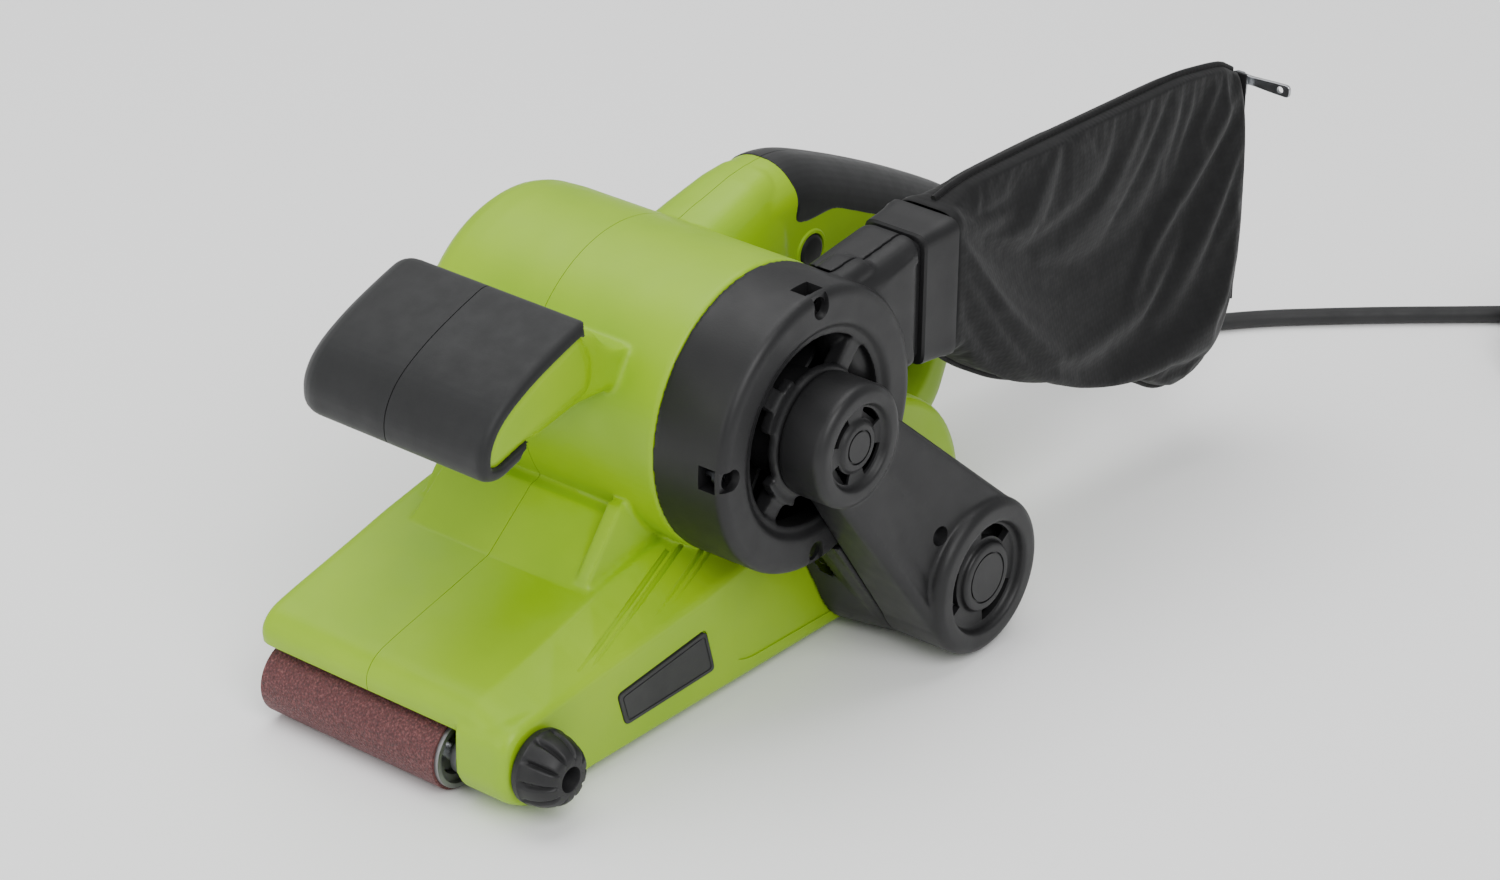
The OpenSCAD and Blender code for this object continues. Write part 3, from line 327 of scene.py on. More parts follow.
powerCord = layCord(cordFacts)
print("cord laid")


# outline tools: an outline is a closed list of points in millimetres
def softCorners(outline, radius, steps=5):
    result = []
    count = len(outline)
    for k in range(count):
        before, here, after = (Vector(outline[(k + j) % count]) for j in (-1, 0, 1))
        r = radius[k] if isinstance(radius, (list, tuple)) else radius
        towards, away = before - here, after - here
        a = here + towards * min(r / max(towards.length, 1e-6), 0.48)
        b = here + away * min(r / max(away.length, 1e-6), 0.48)
        for j in range(steps + 1):
            t = j / steps
            result.append(tuple(a * (1 - t) ** 2 + here * 2 * t * (1 - t) + b * t * t))
    return result


def inset(outline, distance):
    count = len(outline)
    area = sum(outline[k][0] * outline[(k + 1) % count][1] - outline[(k + 1) % count][0] * outline[k][1]
               for k in range(count))
    turn = 1 if area > 0 else -1
    result = []
    for k in range(count):
        before, here, after = (Vector(outline[(k + j) % count]) for j in (-1, 0, 1))
        first, second = here - before, after - here
        if first.length < 1e-6 or second.length < 1e-6:
            first = second = after - before
        n1 = Vector((-first.y, first.x)).normalized() * turn
        n2 = Vector((-second.y, second.x)).normalized() * turn
        middle = n1 + n2
        middle = middle.normalized() if middle.length > 1e-6 else n1
        reach = distance / max(middle.dot(n1), 0.5)
        result.append(tuple(here + middle * reach))
    return result


def evenly(outline, count):
    points = [Vector(p) for p in outline] + [Vector(outline[0])]
    lengths = [0.0]
    for a, b in zip(points, points[1:]):
        lengths.append(lengths[-1] + (b - a).length)
    result, k = [], 0
    for j in range(count):
        want = lengths[-1] * j / count
        while lengths[k + 1] < want:
            k += 1
        t = (want - lengths[k]) / max(lengths[k + 1] - lengths[k], 1e-9)
        result.append(tuple(points[k].lerp(points[k + 1], t)))
    return result


def circle(x, z, r, count=72):
    return [(x + r * math.cos(2 * math.pi * k / count), z + r * math.sin(2 * math.pi * k / count))
            for k in range(count)]


# a closed loop round two circles, the first on the left
def loopAround(first, second, grow=0.0, count=36):
    (x1, z1, r1), (x2, z2, r2) = first, second
    r1, r2 = r1 + grow, r2 + grow
    aim = math.atan2(z2 - z1, x2 - x1)
    turn = math.acos((r1 - r2) / math.hypot(x2 - x1, z2 - z1))
    points = []
    for x, z, r, start, end in ((x1, z1, r1, aim + turn, aim + 2 * math.pi - turn),
                                (x2, z2, r2, aim - turn, aim + turn)):
        for k in range(count + 1):
            a = start + (end - start) * k / count
            points.append((x + r * math.cos(a), z + r * math.sin(a)))
    return points


def newPiece(name, mesh):
    piece = bpy.data.objects.new(name, mesh)
    bpy.context.scene.collection.objects.link(piece)
    return piece


def pieceFrom(build, name):
    bmesh.ops.recalc_face_normals(build, faces=build.faces)
    mesh = bpy.data.meshes.new(name)
    build.to_mesh(mesh)
    build.free()
    return newPiece(name, mesh)


# one row of quads between two closed loops of corners
def skinRow(build, first, second, index=0):
    count = len(first)
    for k in range(count):
        after = (k + 1) % count
        build.faces.new((first[k], first[after], second[after], second[k])).material_index = index


# a point of an outline that stands at s on the named axis
def spotOf(along, s, p):
    if along == "y":
        return Vector((p[0], s, p[1])) * mm
    if along == "x":
        return Vector((s, p[0], p[1])) * mm
    return Vector((p[0], p[1], s)) * mm


# skins through outlines of equal count, each with its place along the axis
def loft(name, rings, along="y"):
    build = bmesh.new()
    loops = [[build.verts.new(spotOf(along, s, p)) for p in outline] for s, outline in rings]
    for first, second in zip(loops, loops[1:]):
        skinRow(build, first, second)
    build.faces.new(list(reversed(loops[0])))
    build.faces.new(loops[-1])
    return pieceFrom(build, name)


# a straight run of one outline whose two end edges are rounded
def pebble(name, outline, start, end, roundStart=0.0, roundEnd=0.0, steps=5, along="y"):
    rings = []
    for j in range(steps + 1):
        if roundStart:
            a = math.pi / 2 * j / steps
            ring = inset(outline, roundStart * (1 - math.cos(a)))
            rings.append((start + roundStart * (1 - math.sin(a)), ring))
    rings = rings[::-1] if rings else [(start, outline)]
    for j in range(steps + 1):
        if roundEnd:
            a = math.pi / 2 * j / steps
            ring = inset(outline, roundEnd * (1 - math.cos(a)))
            rings.append((end - roundEnd * (1 - math.sin(a)), ring))
    if not roundEnd:
        rings.append((end, outline))
    clean = []
    for s, ring in sorted(rings, key=lambda item: item[0]):
        if not clean or abs(s - clean[-1][0]) > 1e-4:
            clean.append((s, ring))
    return loft(name, clean, along)


def lathe(name, x, z, profile, count=96):
    return loft(name, [(y, circle(x, z, r, count)) for y, r in profile])


def applied(piece):
    graph = bpy.context.evaluated_depsgraph_get()
    mesh = bpy.data.meshes.new_from_object(piece.evaluated_get(graph), depsgraph=graph)
    piece.modifiers.clear()
    old = piece.data
    piece.data = mesh
    bpy.data.meshes.remove(old)
    return piece


def boolean(piece, tools, operation):
    for tool in tools:
        change = piece.modifiers.new("shape", "BOOLEAN")
        change.object, change.operation, change.solver = tool, operation, "MANIFOLD"
    applied(piece)
    for tool in tools:
        old = tool.data
        bpy.data.objects.remove(tool)
        if old.users == 0:
            bpy.data.meshes.remove(old)
    return piece


def joined(piece, *tools):
    return boolean(piece, tools, "UNION")


def carved(piece, *tools):
    return boolean(piece, tools, "DIFFERENCE")


def melted(piece, voxel, rounds, factor=0.5):
    remesh = piece.modifiers.new("melt", "REMESH")
    remesh.mode, remesh.voxel_size, remesh.use_smooth_shade = "VOXEL", voxel * mm, True
    if rounds:
        smooth = piece.modifiers.new("soften", "SMOOTH")
        smooth.factor, smooth.iterations = factor, rounds
    return applied(piece)


def shaded(piece, angle=40):
    for face in piece.data.polygons:
        face.use_smooth = True
    piece.data.set_sharp_from_angle(angle=math.radians(angle))
    return piece


def copied(piece, name):
    twin = piece.copy()
    twin.data = piece.data.copy()
    twin.name = name
    bpy.context.scene.collection.objects.link(twin)
    return twin


# a swing about the cross axis, then a move, in degrees and millimetres
def swung(piece, angle, x, z):
    turn = Matrix.Rotation(math.radians(angle), 4, "Y")
    piece.data.transform(Matrix.Translation((x * mm, 0, z * mm)) @ turn)
    return piece


def boxAt(name, x, y, z):
    outline = [(x[0], z[0]), (x[1], z[0]), (x[1], z[1]), (x[0], z[1])]
    return loft(name, [(y[0], outline), (y[1], outline)])


# a round bar along a run of points, for grooves, seams and wires
def bar(name, points, radius, sides=10):
    build = bmesh.new()
    loops = []
    spots = [Vector(p) for p in points]
    for k, here in enumerate(spots):
        heading = (spots[min(k + 1, len(spots) - 1)] - spots[max(k - 1, 0)]).normalized()
        side = heading.cross(Vector((0, 0, 1)))
        side = side.normalized() if side.length > 1e-3 else Vector((1, 0, 0))
        up = side.cross(heading)
        r = radius[k] if isinstance(radius, (list, tuple)) else radius
        loops.append([build.verts.new((here + r * (math.cos(a) * side + math.sin(a) * up)) * mm)
                      for a in (2 * math.pi * j / sides for j in range(sides))])
    for first, second in zip(loops, loops[1:]):
        skinRow(build, first, second)
    build.faces.new(list(reversed(loops[0])))
    build.faces.new(loops[-1])
    return pieceFrom(build, name)


def finished(piece, body, slot, nodes, *materials):
    useMaterial(piece, *materials)
    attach(piece, body)
    if nodes:
        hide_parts(*nodes)
    return piece


casing = {
    "voxel": 0.88,  # size of the cells that round the edges, in millimetres
    "wall": 2.6, "roofNear": -50.0, "roofFar": 42.0, "barrelRadius": 49.0,
    "roof": [(-96, 26), (-96.6, 33), (-92, 38.6), (-81, 41.6), (-56, 47.6), (-37, 52.4), (-15, 57),
             (27, 63), (60, 70)],
    "bevelTop": [(-96, 26), (-96.6, 33), (-91.5, 38.2), (-81, 41.2), (-56, 47), (-37, 51.6), (-15, 56),
                 (27, 62), (60, 69)],
    "crease": [(-96, 26), (-96, 30), (-90, 34), (-80, 36.2), (-56, 38.9), (-34, 41), (-12, 43),
               (20, 47.5), (56, 62)],
    "side": [(-60, 3.6), (-61.5, 2), (-85, 2), (-94.5, 7), (-98.5, 14), (-98.5, 29), (-94, 34),
             (-88, 35.5), (-78, 36.8), (-56, 39.4), (-31, 42), (-2, 44.5), (24, 49), (50, 62),
             (66, 72.3)],
    "tailRadius": 48.0,
}


def tailArc(first, last, radius, steps=28):
    return [(driveX + radius * math.cos(math.radians(first + (last - first) * k / steps)),
             driveZ + radius * math.sin(math.radians(first + (last - first) * k / steps)))
            for k in range(steps + 1)]


def buildCasing(facts):
    r, tail = facts["barrelRadius"], facts["tailRadius"]
    near, far = facts["roofNear"], facts["roofFar"]
    # barrel of the motor, its far end domed
    barrel = lathe("casingBody", *motorAxis, [(-61, r - 0.8), (-60.2, r), (30, r - 0.6), (38, r - 1.2),
                                              (41.5, r - 2.4), (44.5, r - 5), (46.3, r - 9),
                                              (47, r - 14)])
    # side box of the belt drive, its front corner rounded towards the drive side
    side = softCorners(facts["side"] + tailArc(100, -34.5, tail), 3, 3)
    box = loft("sideBox", [(nearY, inset(side, 3.2)), (nearY + 0.9, inset(side, 1.4)),
                           (nearY + 2.6, inset(side, 0.4)), (nearY + 5, side), (-45.5, side)])
    # deck, sloping strip and rounded tail in one skin, from the drive side to the open side
    def across(line, shrink=0.0):
        soft = softCorners(line, [2, 3, 5, 3, 2, 3, 6, 6, 6][:len(line)], 4)[5:]
        ring = soft + tailArc(88, -34.5, tail) + [(100, 14), (-94, 14)]
        return inset(ring, shrink)

    foot = [(x, z - 0.5) for x, z in across(facts["crease"])]
    skins = [(nearY + 1.2, foot), (near - 1.2, across(facts["bevelTop"])), (near, across(facts["roof"]))]
    edge = ((3.4, 0), (1.5, 0.5), (0.5, 1.4), (0, 2.8))
    skins += [(far - depth, across(facts["roof"], shrink)) for depth, shrink in edge]
    roof = loft("roof", skins)
    # raised saddle between the two ribs
    ridge = [(-40.5, 48), (-37.5, 52.8), (-17.5, 69.5), (-2, 72), (-2, 48)]
    saddle = loft("saddle", [(-41, ridge), (29, ridge),
                             (31, [(-33, 48), (-29, 53), (-13, 65), (-2, 68), (-2, 48)])])
    return joined(barrel, box, roof, saddle)


handle = {
    "outer": [(45, 128), (57, 139), (72, 142), (89, 145.5), (99, 146.3), (109, 145), (120, 141),
              (143, 131), (167, 119.5), (196, 104), (205, 97), (209, 87), (208, 75), (203, 55), (195, 36),
              (189, 23), (177, 14), (147, 11), (125, 11), (107, 30), (70, 60)],
    "hole": [(84, 88.5), (100, 95.5), (116, 100), (130, 98), (147, 91), (165, 81), (176.5, 70), (178, 60),
             (176, 49), (167, 37), (153, 33), (139, 39), (124, 57), (98, 72), (76, 74)],
    "near": -22.5, "far": 10.5,
    # place along the tool, half width and top of each section
    "shoulder": [(30, 21, 130), (50, 21, 137), (66, 20.5, 141), (82, 19, 145), (91, 17.8, 146.2),
                 (95.5, 15.5, 145.6), (97.5, 11, 143)],
    # slope of the bar at the trigger in degrees, and its place
    "trigger": (27, 132, 100),
}


def buildHandle(facts):
    near, far = facts["near"], facts["far"]
    outer = evenly(softCorners(facts["outer"], 16, 6), 220)
    hole = evenly(softCorners(facts["hole"], 9, 5), 140)
    body = pebble("handleBody", outer, near, far, 15, 15, 9)
    gap = loft("handHole", [(near - 1, inset(hole, -5)), (near + 2.2, inset(hole, -2.2)),
                            (near + 6, hole), (far - 6, hole), (far - 2.2, inset(hole, -2.2)),
                            (far + 1, inset(hole, -5))])
    # the shoulder is broader than the bar, and narrows into it
    rings = []
    for x, w, top in facts["shoulder"]:
        outline = [(-6 - w, 92), (-6 + w, 92), (-6 + w, top - 19), (-6 + w * 0.66, top - 1.5), (-6, top),
                   (-6 - w * 0.66, top - 1.5), (-6 - w, top - 19)]
        rings.append((x, softCorners(outline, [4, 4, 12, 9, 6, 9, 12], 6)))
    shoulder = loft("shoulder", rings, "x")
    return joined(carved(body, gap), shoulder)


grip = {
    "skin": [(-36, 149), (-49, 145), (-65, 139), (-79, 131), (-85.5, 121), (-85, 110.5), (-77, 107.6),
             (-64.5, 111.6)],
    "rear": [(-31, 119), (-27.5, 128), (-31, 141)], "near": -47.0, "far": 35.0, "shell": 4.6,
}


def gripRing(facts, shrink):
    points = softCorners(facts["skin"] + facts["rear"], [5, 12, 12, 9, 7, 4, 4, 6, 4, 5, 4], 5)
    return inset(points, shrink)


def buildGripCore(facts):
    near, far = facts["near"], facts["far"]
    core = loft("gripCore", [(near + 1.2, gripRing(facts, 7.5)),
                             (near + 2.2, gripRing(facts, facts["shell"] - 0.4)),
                             (far - 9, gripRing(facts, facts["shell"] - 0.4)),
                             (far - 4, gripRing(facts, 9))])
    rings = []
    for y, d in ((-43.5, 3.2), (-42.2, 1.0), (-40, 0), (28, 0), (30, 1.2), (31, 3.6)):
        outline = [(-60, 136.5 - d), (-40, 143.3 - d), (-28 - d, 140.5 - d), (-20 - d, 131), (-2, 127),
                   (-2, 108), (-20, 116 + d), (-36, 117 + d), (-58, 112.8 + d)]
        rings.append((y, softCorners(outline, [3, 3, 4, 6, 3, 3, 3, 3, 3], 4)))
    neck = loft("gripNeck", rings)
    return joined(core, neck)


# ribs that tie the deck to the barrel
def buildRibs():
    shape = [(-37.5, 50), (-34.6, 56.4), (-20.2, 75.6), (-4, 80), (-4, 50)]
    nearRib = loft("nearRib", [(-46.4, shape), (-45.8, [(x - 0.3, z + 0.4) for x, z in shape]),
                               (-41.6, [(x - 0.3, z + 0.4) for x, z in shape]), (-41, shape)])
    shape = [(-31, 46), (-27, 54), (-14.5, 70.5), (-4, 76), (-4, 50)]
    return nearRib, loft("farRib", [(31, shape), (34.6, shape)])


def hollowCasing(body):
    wall = casing["wall"]
    bore = lathe("motorBore", *motorAxis, [(-70, 46.4), (37, 46.4), (41, 43), (44.2, 36)])
    bayLine = casing["roof"] + tailArc(88, -40, casing["tailRadius"]) + [(100, -20), (-96, -20)]
    bayLine = softCorners(inset(bayLine, wall), 2, 2)
    bay = loft("beltBay", [(-45.4, bayLine), (60, bayLine)])
    keep = lathe("barrelKeep", *motorAxis, [(-80, 49), (80, 49)], 72)
    bay = carved(bay, keep)
    room = loft("sideRoom", [(y, inset(softCorners(casing["side"] + tailArc(100, -34.5, 48), 3, 3),
                                       wall + 2.2)) for y in (nearY + wall, -48.2)])
    room = carved(room, lathe("ringKeep", *motorAxis, [(-80, 51), (80, 51)], 72))
    beltPath = loft("beltPath", [(y, loopAround(*rollers, 3.3, 30)) for y in (-44.5, 60)])
    return carved(body, bore, bay, room, beltPath)


body = buildCasing(casing)
body = joined(body, buildHandle(handle), buildGripCore(grip), *buildRibs())
body = hollowCasing(body)
body = melted(body, casing["voxel"], 2)
print("casing melted", len(body.data.vertices))

casingCuts = {
    "plate": [(-46, 26.3), (-1.8, 31.3), (3.2, 14), (-41.8, 13)],
    "panel": [(14, 37), (14, 12), (22, 10), (80, 9), (60, 40), (40, 42)],
    "grooves": [[(-60, -63.5), (-4, -52.3)], [(-56, -65.0), (2, -53.4)], [(-26, -64.6), (14, -56.2)],
                [(-22, -65.6), (18, -57.4)]],
    "screws": [(87, 132), (198, 79), (182, 27), (-62.5, 124)],
}


def slopeHeight(x, y):
    def level(line):
        for (x0, z0), (x1, z1) in zip(line, line[1:]):
            if x0 <= x <= x1:
                return z0 + (z1 - z0) * (x - x0) / (x1 - x0)
        return line[-1][1]
    t = (casing["roofNear"] - y) / (casing["roofNear"] - nearY)
    return level(casing["bevelTop"]) * (1 - t) + level(casing["crease"]) * t


def carveCasing(body, facts):
    tools = [pebble("plateSeat", softCorners(facts["plate"], 2.5), nearY - 1, nearY + 0.9),
             loft("panelSeat", [(nearY - 1, softCorners(facts["panel"], 3)),
                                (nearY + 0.5, softCorners(facts["panel"], 3))]),
             lathe("knobHole", -85, 19.2, [(nearY - 1, 3.2), (-44, 3.2)], 32),
             lathe("lockHole", 106, 114, [(-30, 6.3), (-8, 6.3)], 48),
             lathe("ringSeat", *motorAxis, [(nearY - 5, 49.4), (-61.2, 49.4)], 96)]
    for line in facts["grooves"]:
        points = []
        for a, b in zip(line, line[1:]):
            for k in range(13):
                x, y = (a[j] + (b[j] - a[j]) * k / 12 for j in (0, 1))
                if not points or abs(points[-1][0] - x) > 0.1:
                    points.append((x, y, slopeHeight(x, y) + 0.1))
        tools.append(bar("louvre", points, 0.95))
    # trigger slot, square to the bar
    slot = boxAt("triggerSlot", (-21, 21), (-13.3, 1.3), (-14, 14))
    tools.append(swung(slot, *handle["trigger"]))
    for x, z in facts["screws"]:
        tools.append(lathe("screwWell", x, z, [(seamY + 8, 3.6), (seamY + 60, 3.6)], 28))
    for tool in tools:
        carved(body, tool)
    return body


body = carveCasing(body, casingCuts)
print("casing carved", len(body.data.vertices))


# the two halves, a hair apart so that the parting line shows
def halved(body, name, plane, keepAbove, gap=0.12):
    piece = copied(body, name)
    build = bmesh.new()
    build.from_mesh(piece.data)
    level = (plane + (gap if keepAbove else -gap)) * mm
    cut = bmesh.ops.bisect_plane(build, geom=build.verts[:] + build.edges[:] + build.faces[:],
                                 plane_co=(0, level, 0), plane_no=(0, 1, 0), clear_inner=keepAbove,
                                 clear_outer=not keepAbove)
    edges = [e for e in cut["geom_cut"] if isinstance(e, bmesh.types.BMEdge)]
    bmesh.ops.holes_fill(build, edges=edges, sides=0)
    build.to_mesh(piece.data)
    build.free()
    return shaded(piece, 32)


finished(halved(body, "casingLeft", seamY, False), "casing", "green_plastic", ["housing_left"],
         greenNylon)
finished(halved(body, "casingRight", seamY, True), "casing", "green_plastic", ["housing_right"],
         greenNylon)
bpy.data.objects.remove(body)
print("casing halves made")


# a closed band between two outlines: belts and straps
def hoop(name, outer, inner, start, end, along="y", middle=1):
    build = bmesh.new()
    stations = [start + (end - start) * k / middle for k in range(middle + 1)]
    outside = [[build.verts.new(spotOf(along, s, p)) for p in outer] for s in stations]
    inside = [[build.verts.new(spotOf(along, s, p)) for p in inner] for s in stations]
    for skin, index in ((outside, 0), (inside, 1)):
        for first, second in zip(skin, skin[1:]):
            skinRow(build, first, second, index)
    for edge in (0, -1):
        skinRow(build, outside[edge], inside[edge], 1)
    return pieceFrom(build, name)


def turnedBox(name, x, z, angle, radial, width, y):
    piece = boxAt(name, radial, y, (-width / 2, width / 2))
    return swung(piece, -angle, x, z)


# a curved slot about an axis across the tool
def arcSlot(name, x, z, inner, outer, first, last, y):
    steps = 12
    ends = [math.radians(first + (last - first) * k / steps) for k in range(steps + 1)]
    outline = [(x + inner * math.cos(a), z + inner * math.sin(a)) for a in ends]
    outline += [(x + outer * math.cos(a), z + outer * math.sin(a)) for a in reversed(ends)]
    return loft(name, [(y[0], outline), (y[1], outline)])


# front grip: two soft shells around the green core
def buildGripShell(facts):
    near, far, shell = facts["near"], facts["far"], facts["shell"]
    outer = pebble("gripSkin", gripRing(facts, 0), near, far, 3.0, 11, 7)
    hollow = loft("gripHollow", [(near - 1, gripRing(facts, shell - 1.2)),
                                 (near + 1.0, gripRing(facts, shell)), (far - 9, gripRing(facts, shell)),
                                 (far - 5, gripRing(facts, shell + 2.5))])
    behind = [(-66, 100), (-67, 113.4), (-62, 117), (-45, 128), (-36, 134), (-37.5, 146.4), (-20, 148),
              (-15, 100)]
    back = loft("gripBack", [(near - 2, behind), (far - 7, behind)])
    return melted(carved(outer, hollow, back), 0.6, 4)


# both halves of a soft skin, dressed
def softHalves(shell, name, nodes, gap):
    for side, far in (("Left", False), ("Right", True)):
        half = halved(shell, name + side, seamY, far, gap)
        finished(half, "casing", "soft_grip", [nodes + "_" + side.lower()], gripRubber)
    bpy.data.objects.remove(shell)


softHalves(buildGripShell(grip), "gripShell", "front_grip", 0.2)
print("front grip made")

rearGrip = {
    "region": [(98.5, 156), (98.5, 143), (99.5, 135), (96.5, 127.5), (104, 125.4), (118, 126),
               (151, 110.5), (178, 96.5), (189, 92.5), (198, 101), (206, 112), (190, 122), (150, 142),
               (112, 156)],
    "proud": 0.35,
}


def buildRearGrip(facts):
    grow = facts["proud"]
    outer = evenly(softCorners(inset(handle["outer"], -grow), 16, 6), 260)
    skin = pebble("rearSkin", outer, handle["near"] - grow, handle["far"] + grow, 15.2, 15.2, 9)
    region = softCorners(facts["region"], 5, 4)
    keep = loft("rearKeep", [(-40, region), (30, region)])
    skin = boolean(skin, [keep], "INTERSECT")
    core = pebble("rearCore", evenly(softCorners(inset(handle["outer"], 1.6), 15, 6), 200), handle["near"]
                  + 1.6, handle["far"] - 1.6, 13.5, 13.5, 8)
    return melted(carved(skin, core), 0.55, 3)


softHalves(buildRearGrip(rearGrip), "rearShell", "rear_grip", 0.15)
print("rear grip made")

badge = {"outline": [(-46, 26), (-2, 31), (3, 14), (-42, 13)], "proud": 0.6}


def buildBadge(facts):
    front = nearY - facts["proud"]
    outline = softCorners(inset(facts["outline"], 0.3), 2.2)
    plate = pebble("nameplate", outline, front, nearY + 0.85, 0.25)
    field = softCorners(inset(facts["outline"], 1.5), 1.6)
    plate = carved(plate, loft("field", [(nearY - 2, field), (front + 0.3, field)]))
    inner = softCorners(inset(facts["outline"], 2.1), 1.4)
    return joined(plate, loft("innerField", [(front + 0.05, inner), (nearY + 0.5, inner)]))


finished(shaded(buildBadge(badge), 35), "casing", "badge_plastic", ["name_plate"], badgeNylon)

# places across the tool, radii and angles
fan = {"face": -89.2, "seam": -61.0, "opening": 34.7, "screwAngles": (90, 180, 270), "screwRadius": 43.5,
       "ductNear": -84.5, "ductSeam": -75.0, "ductFar": -58.5,
       "duct": [(34, 137), (52, 139.5), (87.3, 144.2), (87.3, 97), (62, 97), (48, 108)],
       # thicker block where the duct leaves the ring
       "block": [(42, 133), (46, 142.4), (62, 144), (68, 139.5), (63, 122)]}


def aroundMotor(radius, angle):
    a = math.radians(angle)
    return motorX + radius * math.cos(a), motorZ + radius * math.sin(a)


def ductRun(name, start, end, roundStart, roundEnd, shrink=0.0):
    outline = evenly(softCorners(inset(fan["duct"], shrink), 4, 5), 120)
    return pebble(name, outline, start, end, roundStart, roundEnd, 5)


def buildFanHousing(facts):
    face, seam, near, joint = (facts[key] for key in ("face", "seam", "ductNear", "ductSeam"))
    body = lathe("fanHousing", *motorAxis, [(face, 45.4), (face + 0.5, 46.9), (face + 1.4, 48.0),
                                            (face + 2.8, 48.6), (seam - 0.2, 48.8)], 144)
    hollow = lathe("fanHollow", *motorAxis, [(face + 3.2, 45.8), (seam + 2, 45.8)], 96)
    mouth = lathe("fanMouth", *motorAxis, [(face - 1, 37.2), (face + 0.2, 36.4),
                                           (face + 1.3, facts["opening"]), (face + 6, facts["opening"])],
                  96)
    body = carved(body, hollow, mouth)
    lip = carved(lathe("fanLip", *motorAxis, [(face + 1.6, 37.0), (face + 9, 37.0)], 96),
                 lathe("fanLipBore", *motorAxis, [(face, 32.2), (face + 10, 32.2)], 96))
    hub = lathe("fanHub", *motorAxis, [(face + 0.2, 21.5), (face + 2.6, 22.2), (face + 3.4, 22.2),
                                       (face + 4, 18), (face + 16, 18)], 96)
    hub = carved(hub, lathe("hubBore", *motorAxis, [(face - 1, 8.0), (face + 6, 8.0), (face + 6.01, 13.1),
                                                    (face + 18, 13.1)], 72))
    spokes = [turnedBox("spoke", *motorAxis, 48 + 90 * k, (17, 46.5), 7, (face + 2.4, face + 8))
              for k in range(4)]
    webs = [arcSlot("web", *motorAxis, 20.5, 25.4, a, b, (face + 1.2, face + 5))
            for a, b in ((118, 162), (-62, -18), (205, 245))]
    blocks = [turnedBox("screwBlock", *motorAxis, a, (36, 47.2), 13, (face + 1.0, face + 13))
              for a in facts["screwAngles"]]
    duct = ductRun("ductNear", near, joint, 7, 0)
    saddle = pebble("ductSaddle", softCorners(facts["block"], 3), -82, joint, 4, 0)
    body = joined(body, lip, hub, *spokes, *webs, *blocks, duct, saddle)
    room = ductRun("ductRoom", near + 2.6, joint + 1, 5, 0, 2.4)
    outlet = boxAt("outlet", (80, 96), (near + 2.6, joint + 1), (99.4, 140.6))
    body = carved(body, carved(room, lathe("hubKeep", *motorAxis, [(-95, 47), (-50, 47)])), outlet)
    throat = boxAt("throat", (60, 76), (near + 2.6, joint + 1), (104, 134))
    body = melted(carved(body, throat), 0.72, 3)
    for a in facts["screwAngles"]:
        body = carved(body, turnedBox("sidePocket", *motorAxis, a, (39.6, 54), 8.4,
                                      (face + 3.0, face + 9.6)))
        x, z = aroundMotor(facts["screwRadius"], a)
        body = carved(body, lathe("facePocket", x, z, [(face - 1, 4.0), (face + 0.7, 3.5),
                                                       (face + 5, 3.5)], 40))
    for a in facts["screwAngles"]:
        body = carved(body, turnedBox("trench", *motorAxis, a, (43.5, 52), 7, (face - 1, face + 1.6)))
    return body


fanHousing = shaded(buildFanHousing(fan), 34)
finished(fanHousing, "casing", "black_plastic", ["fan_housing"], blackNylon)


def buildDuctBack(facts):
    joint, far = facts["ductSeam"], facts["ductFar"]
    back = joined(ductRun("ductBack", joint + 0.25, far, 0, 6),
                  pebble("saddleBack", softCorners(facts["block"], 3), joint + 0.25, -66, 0, 4))
    back = carved(back, ductRun("ductRoomBack", joint - 1, far - 2.4, 0, 4, 2.4),
                  boxAt("outletBack", (80, 90), (joint - 1, far - 2.4), (99.4, 140.6)))
    back = carved(back, lathe("ringKeep", *motorAxis, [(-95, 49.2), (-50, 49.2)], 144))
    section = softCorners([(-81.9, 99.5), (-61.1, 99.5), (-61.1, 141.5), (-81.9, 141.5)], 3, 4)
    spigot = carved(loft("spigot", [(80, section), (98.6, section)], "x"),
                    loft("spigotBore", [(78, inset(section, 2)), (100, inset(section, 2))], "x"))
    return joined(back, spigot)


finished(shaded(melted(buildDuctBack(fan), 0.6, 2), 34), "casing", "black_plastic", ["duct_back"],
         blackNylon)
print("fan housing and duct made")


# recessed cross-head screws in the fan housing
def buildScrewHead(name, x, z, y, radius=3.1):
    head = lathe(name, x, z, [(y - 1.8, radius - 1.1), (y - 1.5, radius - 0.4), (y - 0.9, radius),
                              (y, radius)], 40)
    shank = lathe("shank", x, z, [(y - 0.2, 1.6), (y + 9, 1.6)], 24)
    head = joined(head, shank)
    for turn in (25, 115):
        head = carved(head, turnedBox("cross", x, z, turn, (-radius * 0.62, radius * 0.62), 0.8,
                                      (y - 2.4, y - 0.8)))
    return head


for k, angle in enumerate(fan["screwAngles"]):
    head = buildScrewHead("fanScrew%d" % k, *aroundMotor(fan["screwRadius"], angle), -83.4)
    finished(shaded(head, 30), "casing", "zinc_steel", ["fan_housing_screws"], blackSteel)

# places across the tool and radii
cover = {
    "back": -89.4, "armFace": -105.5, "upperFace": -106.5, "lowerFace": -115.0, "armUpper": 16.3,
    "armLower": 27.2, "faceUpper": -102.5, "faceLower": -114.2,
}


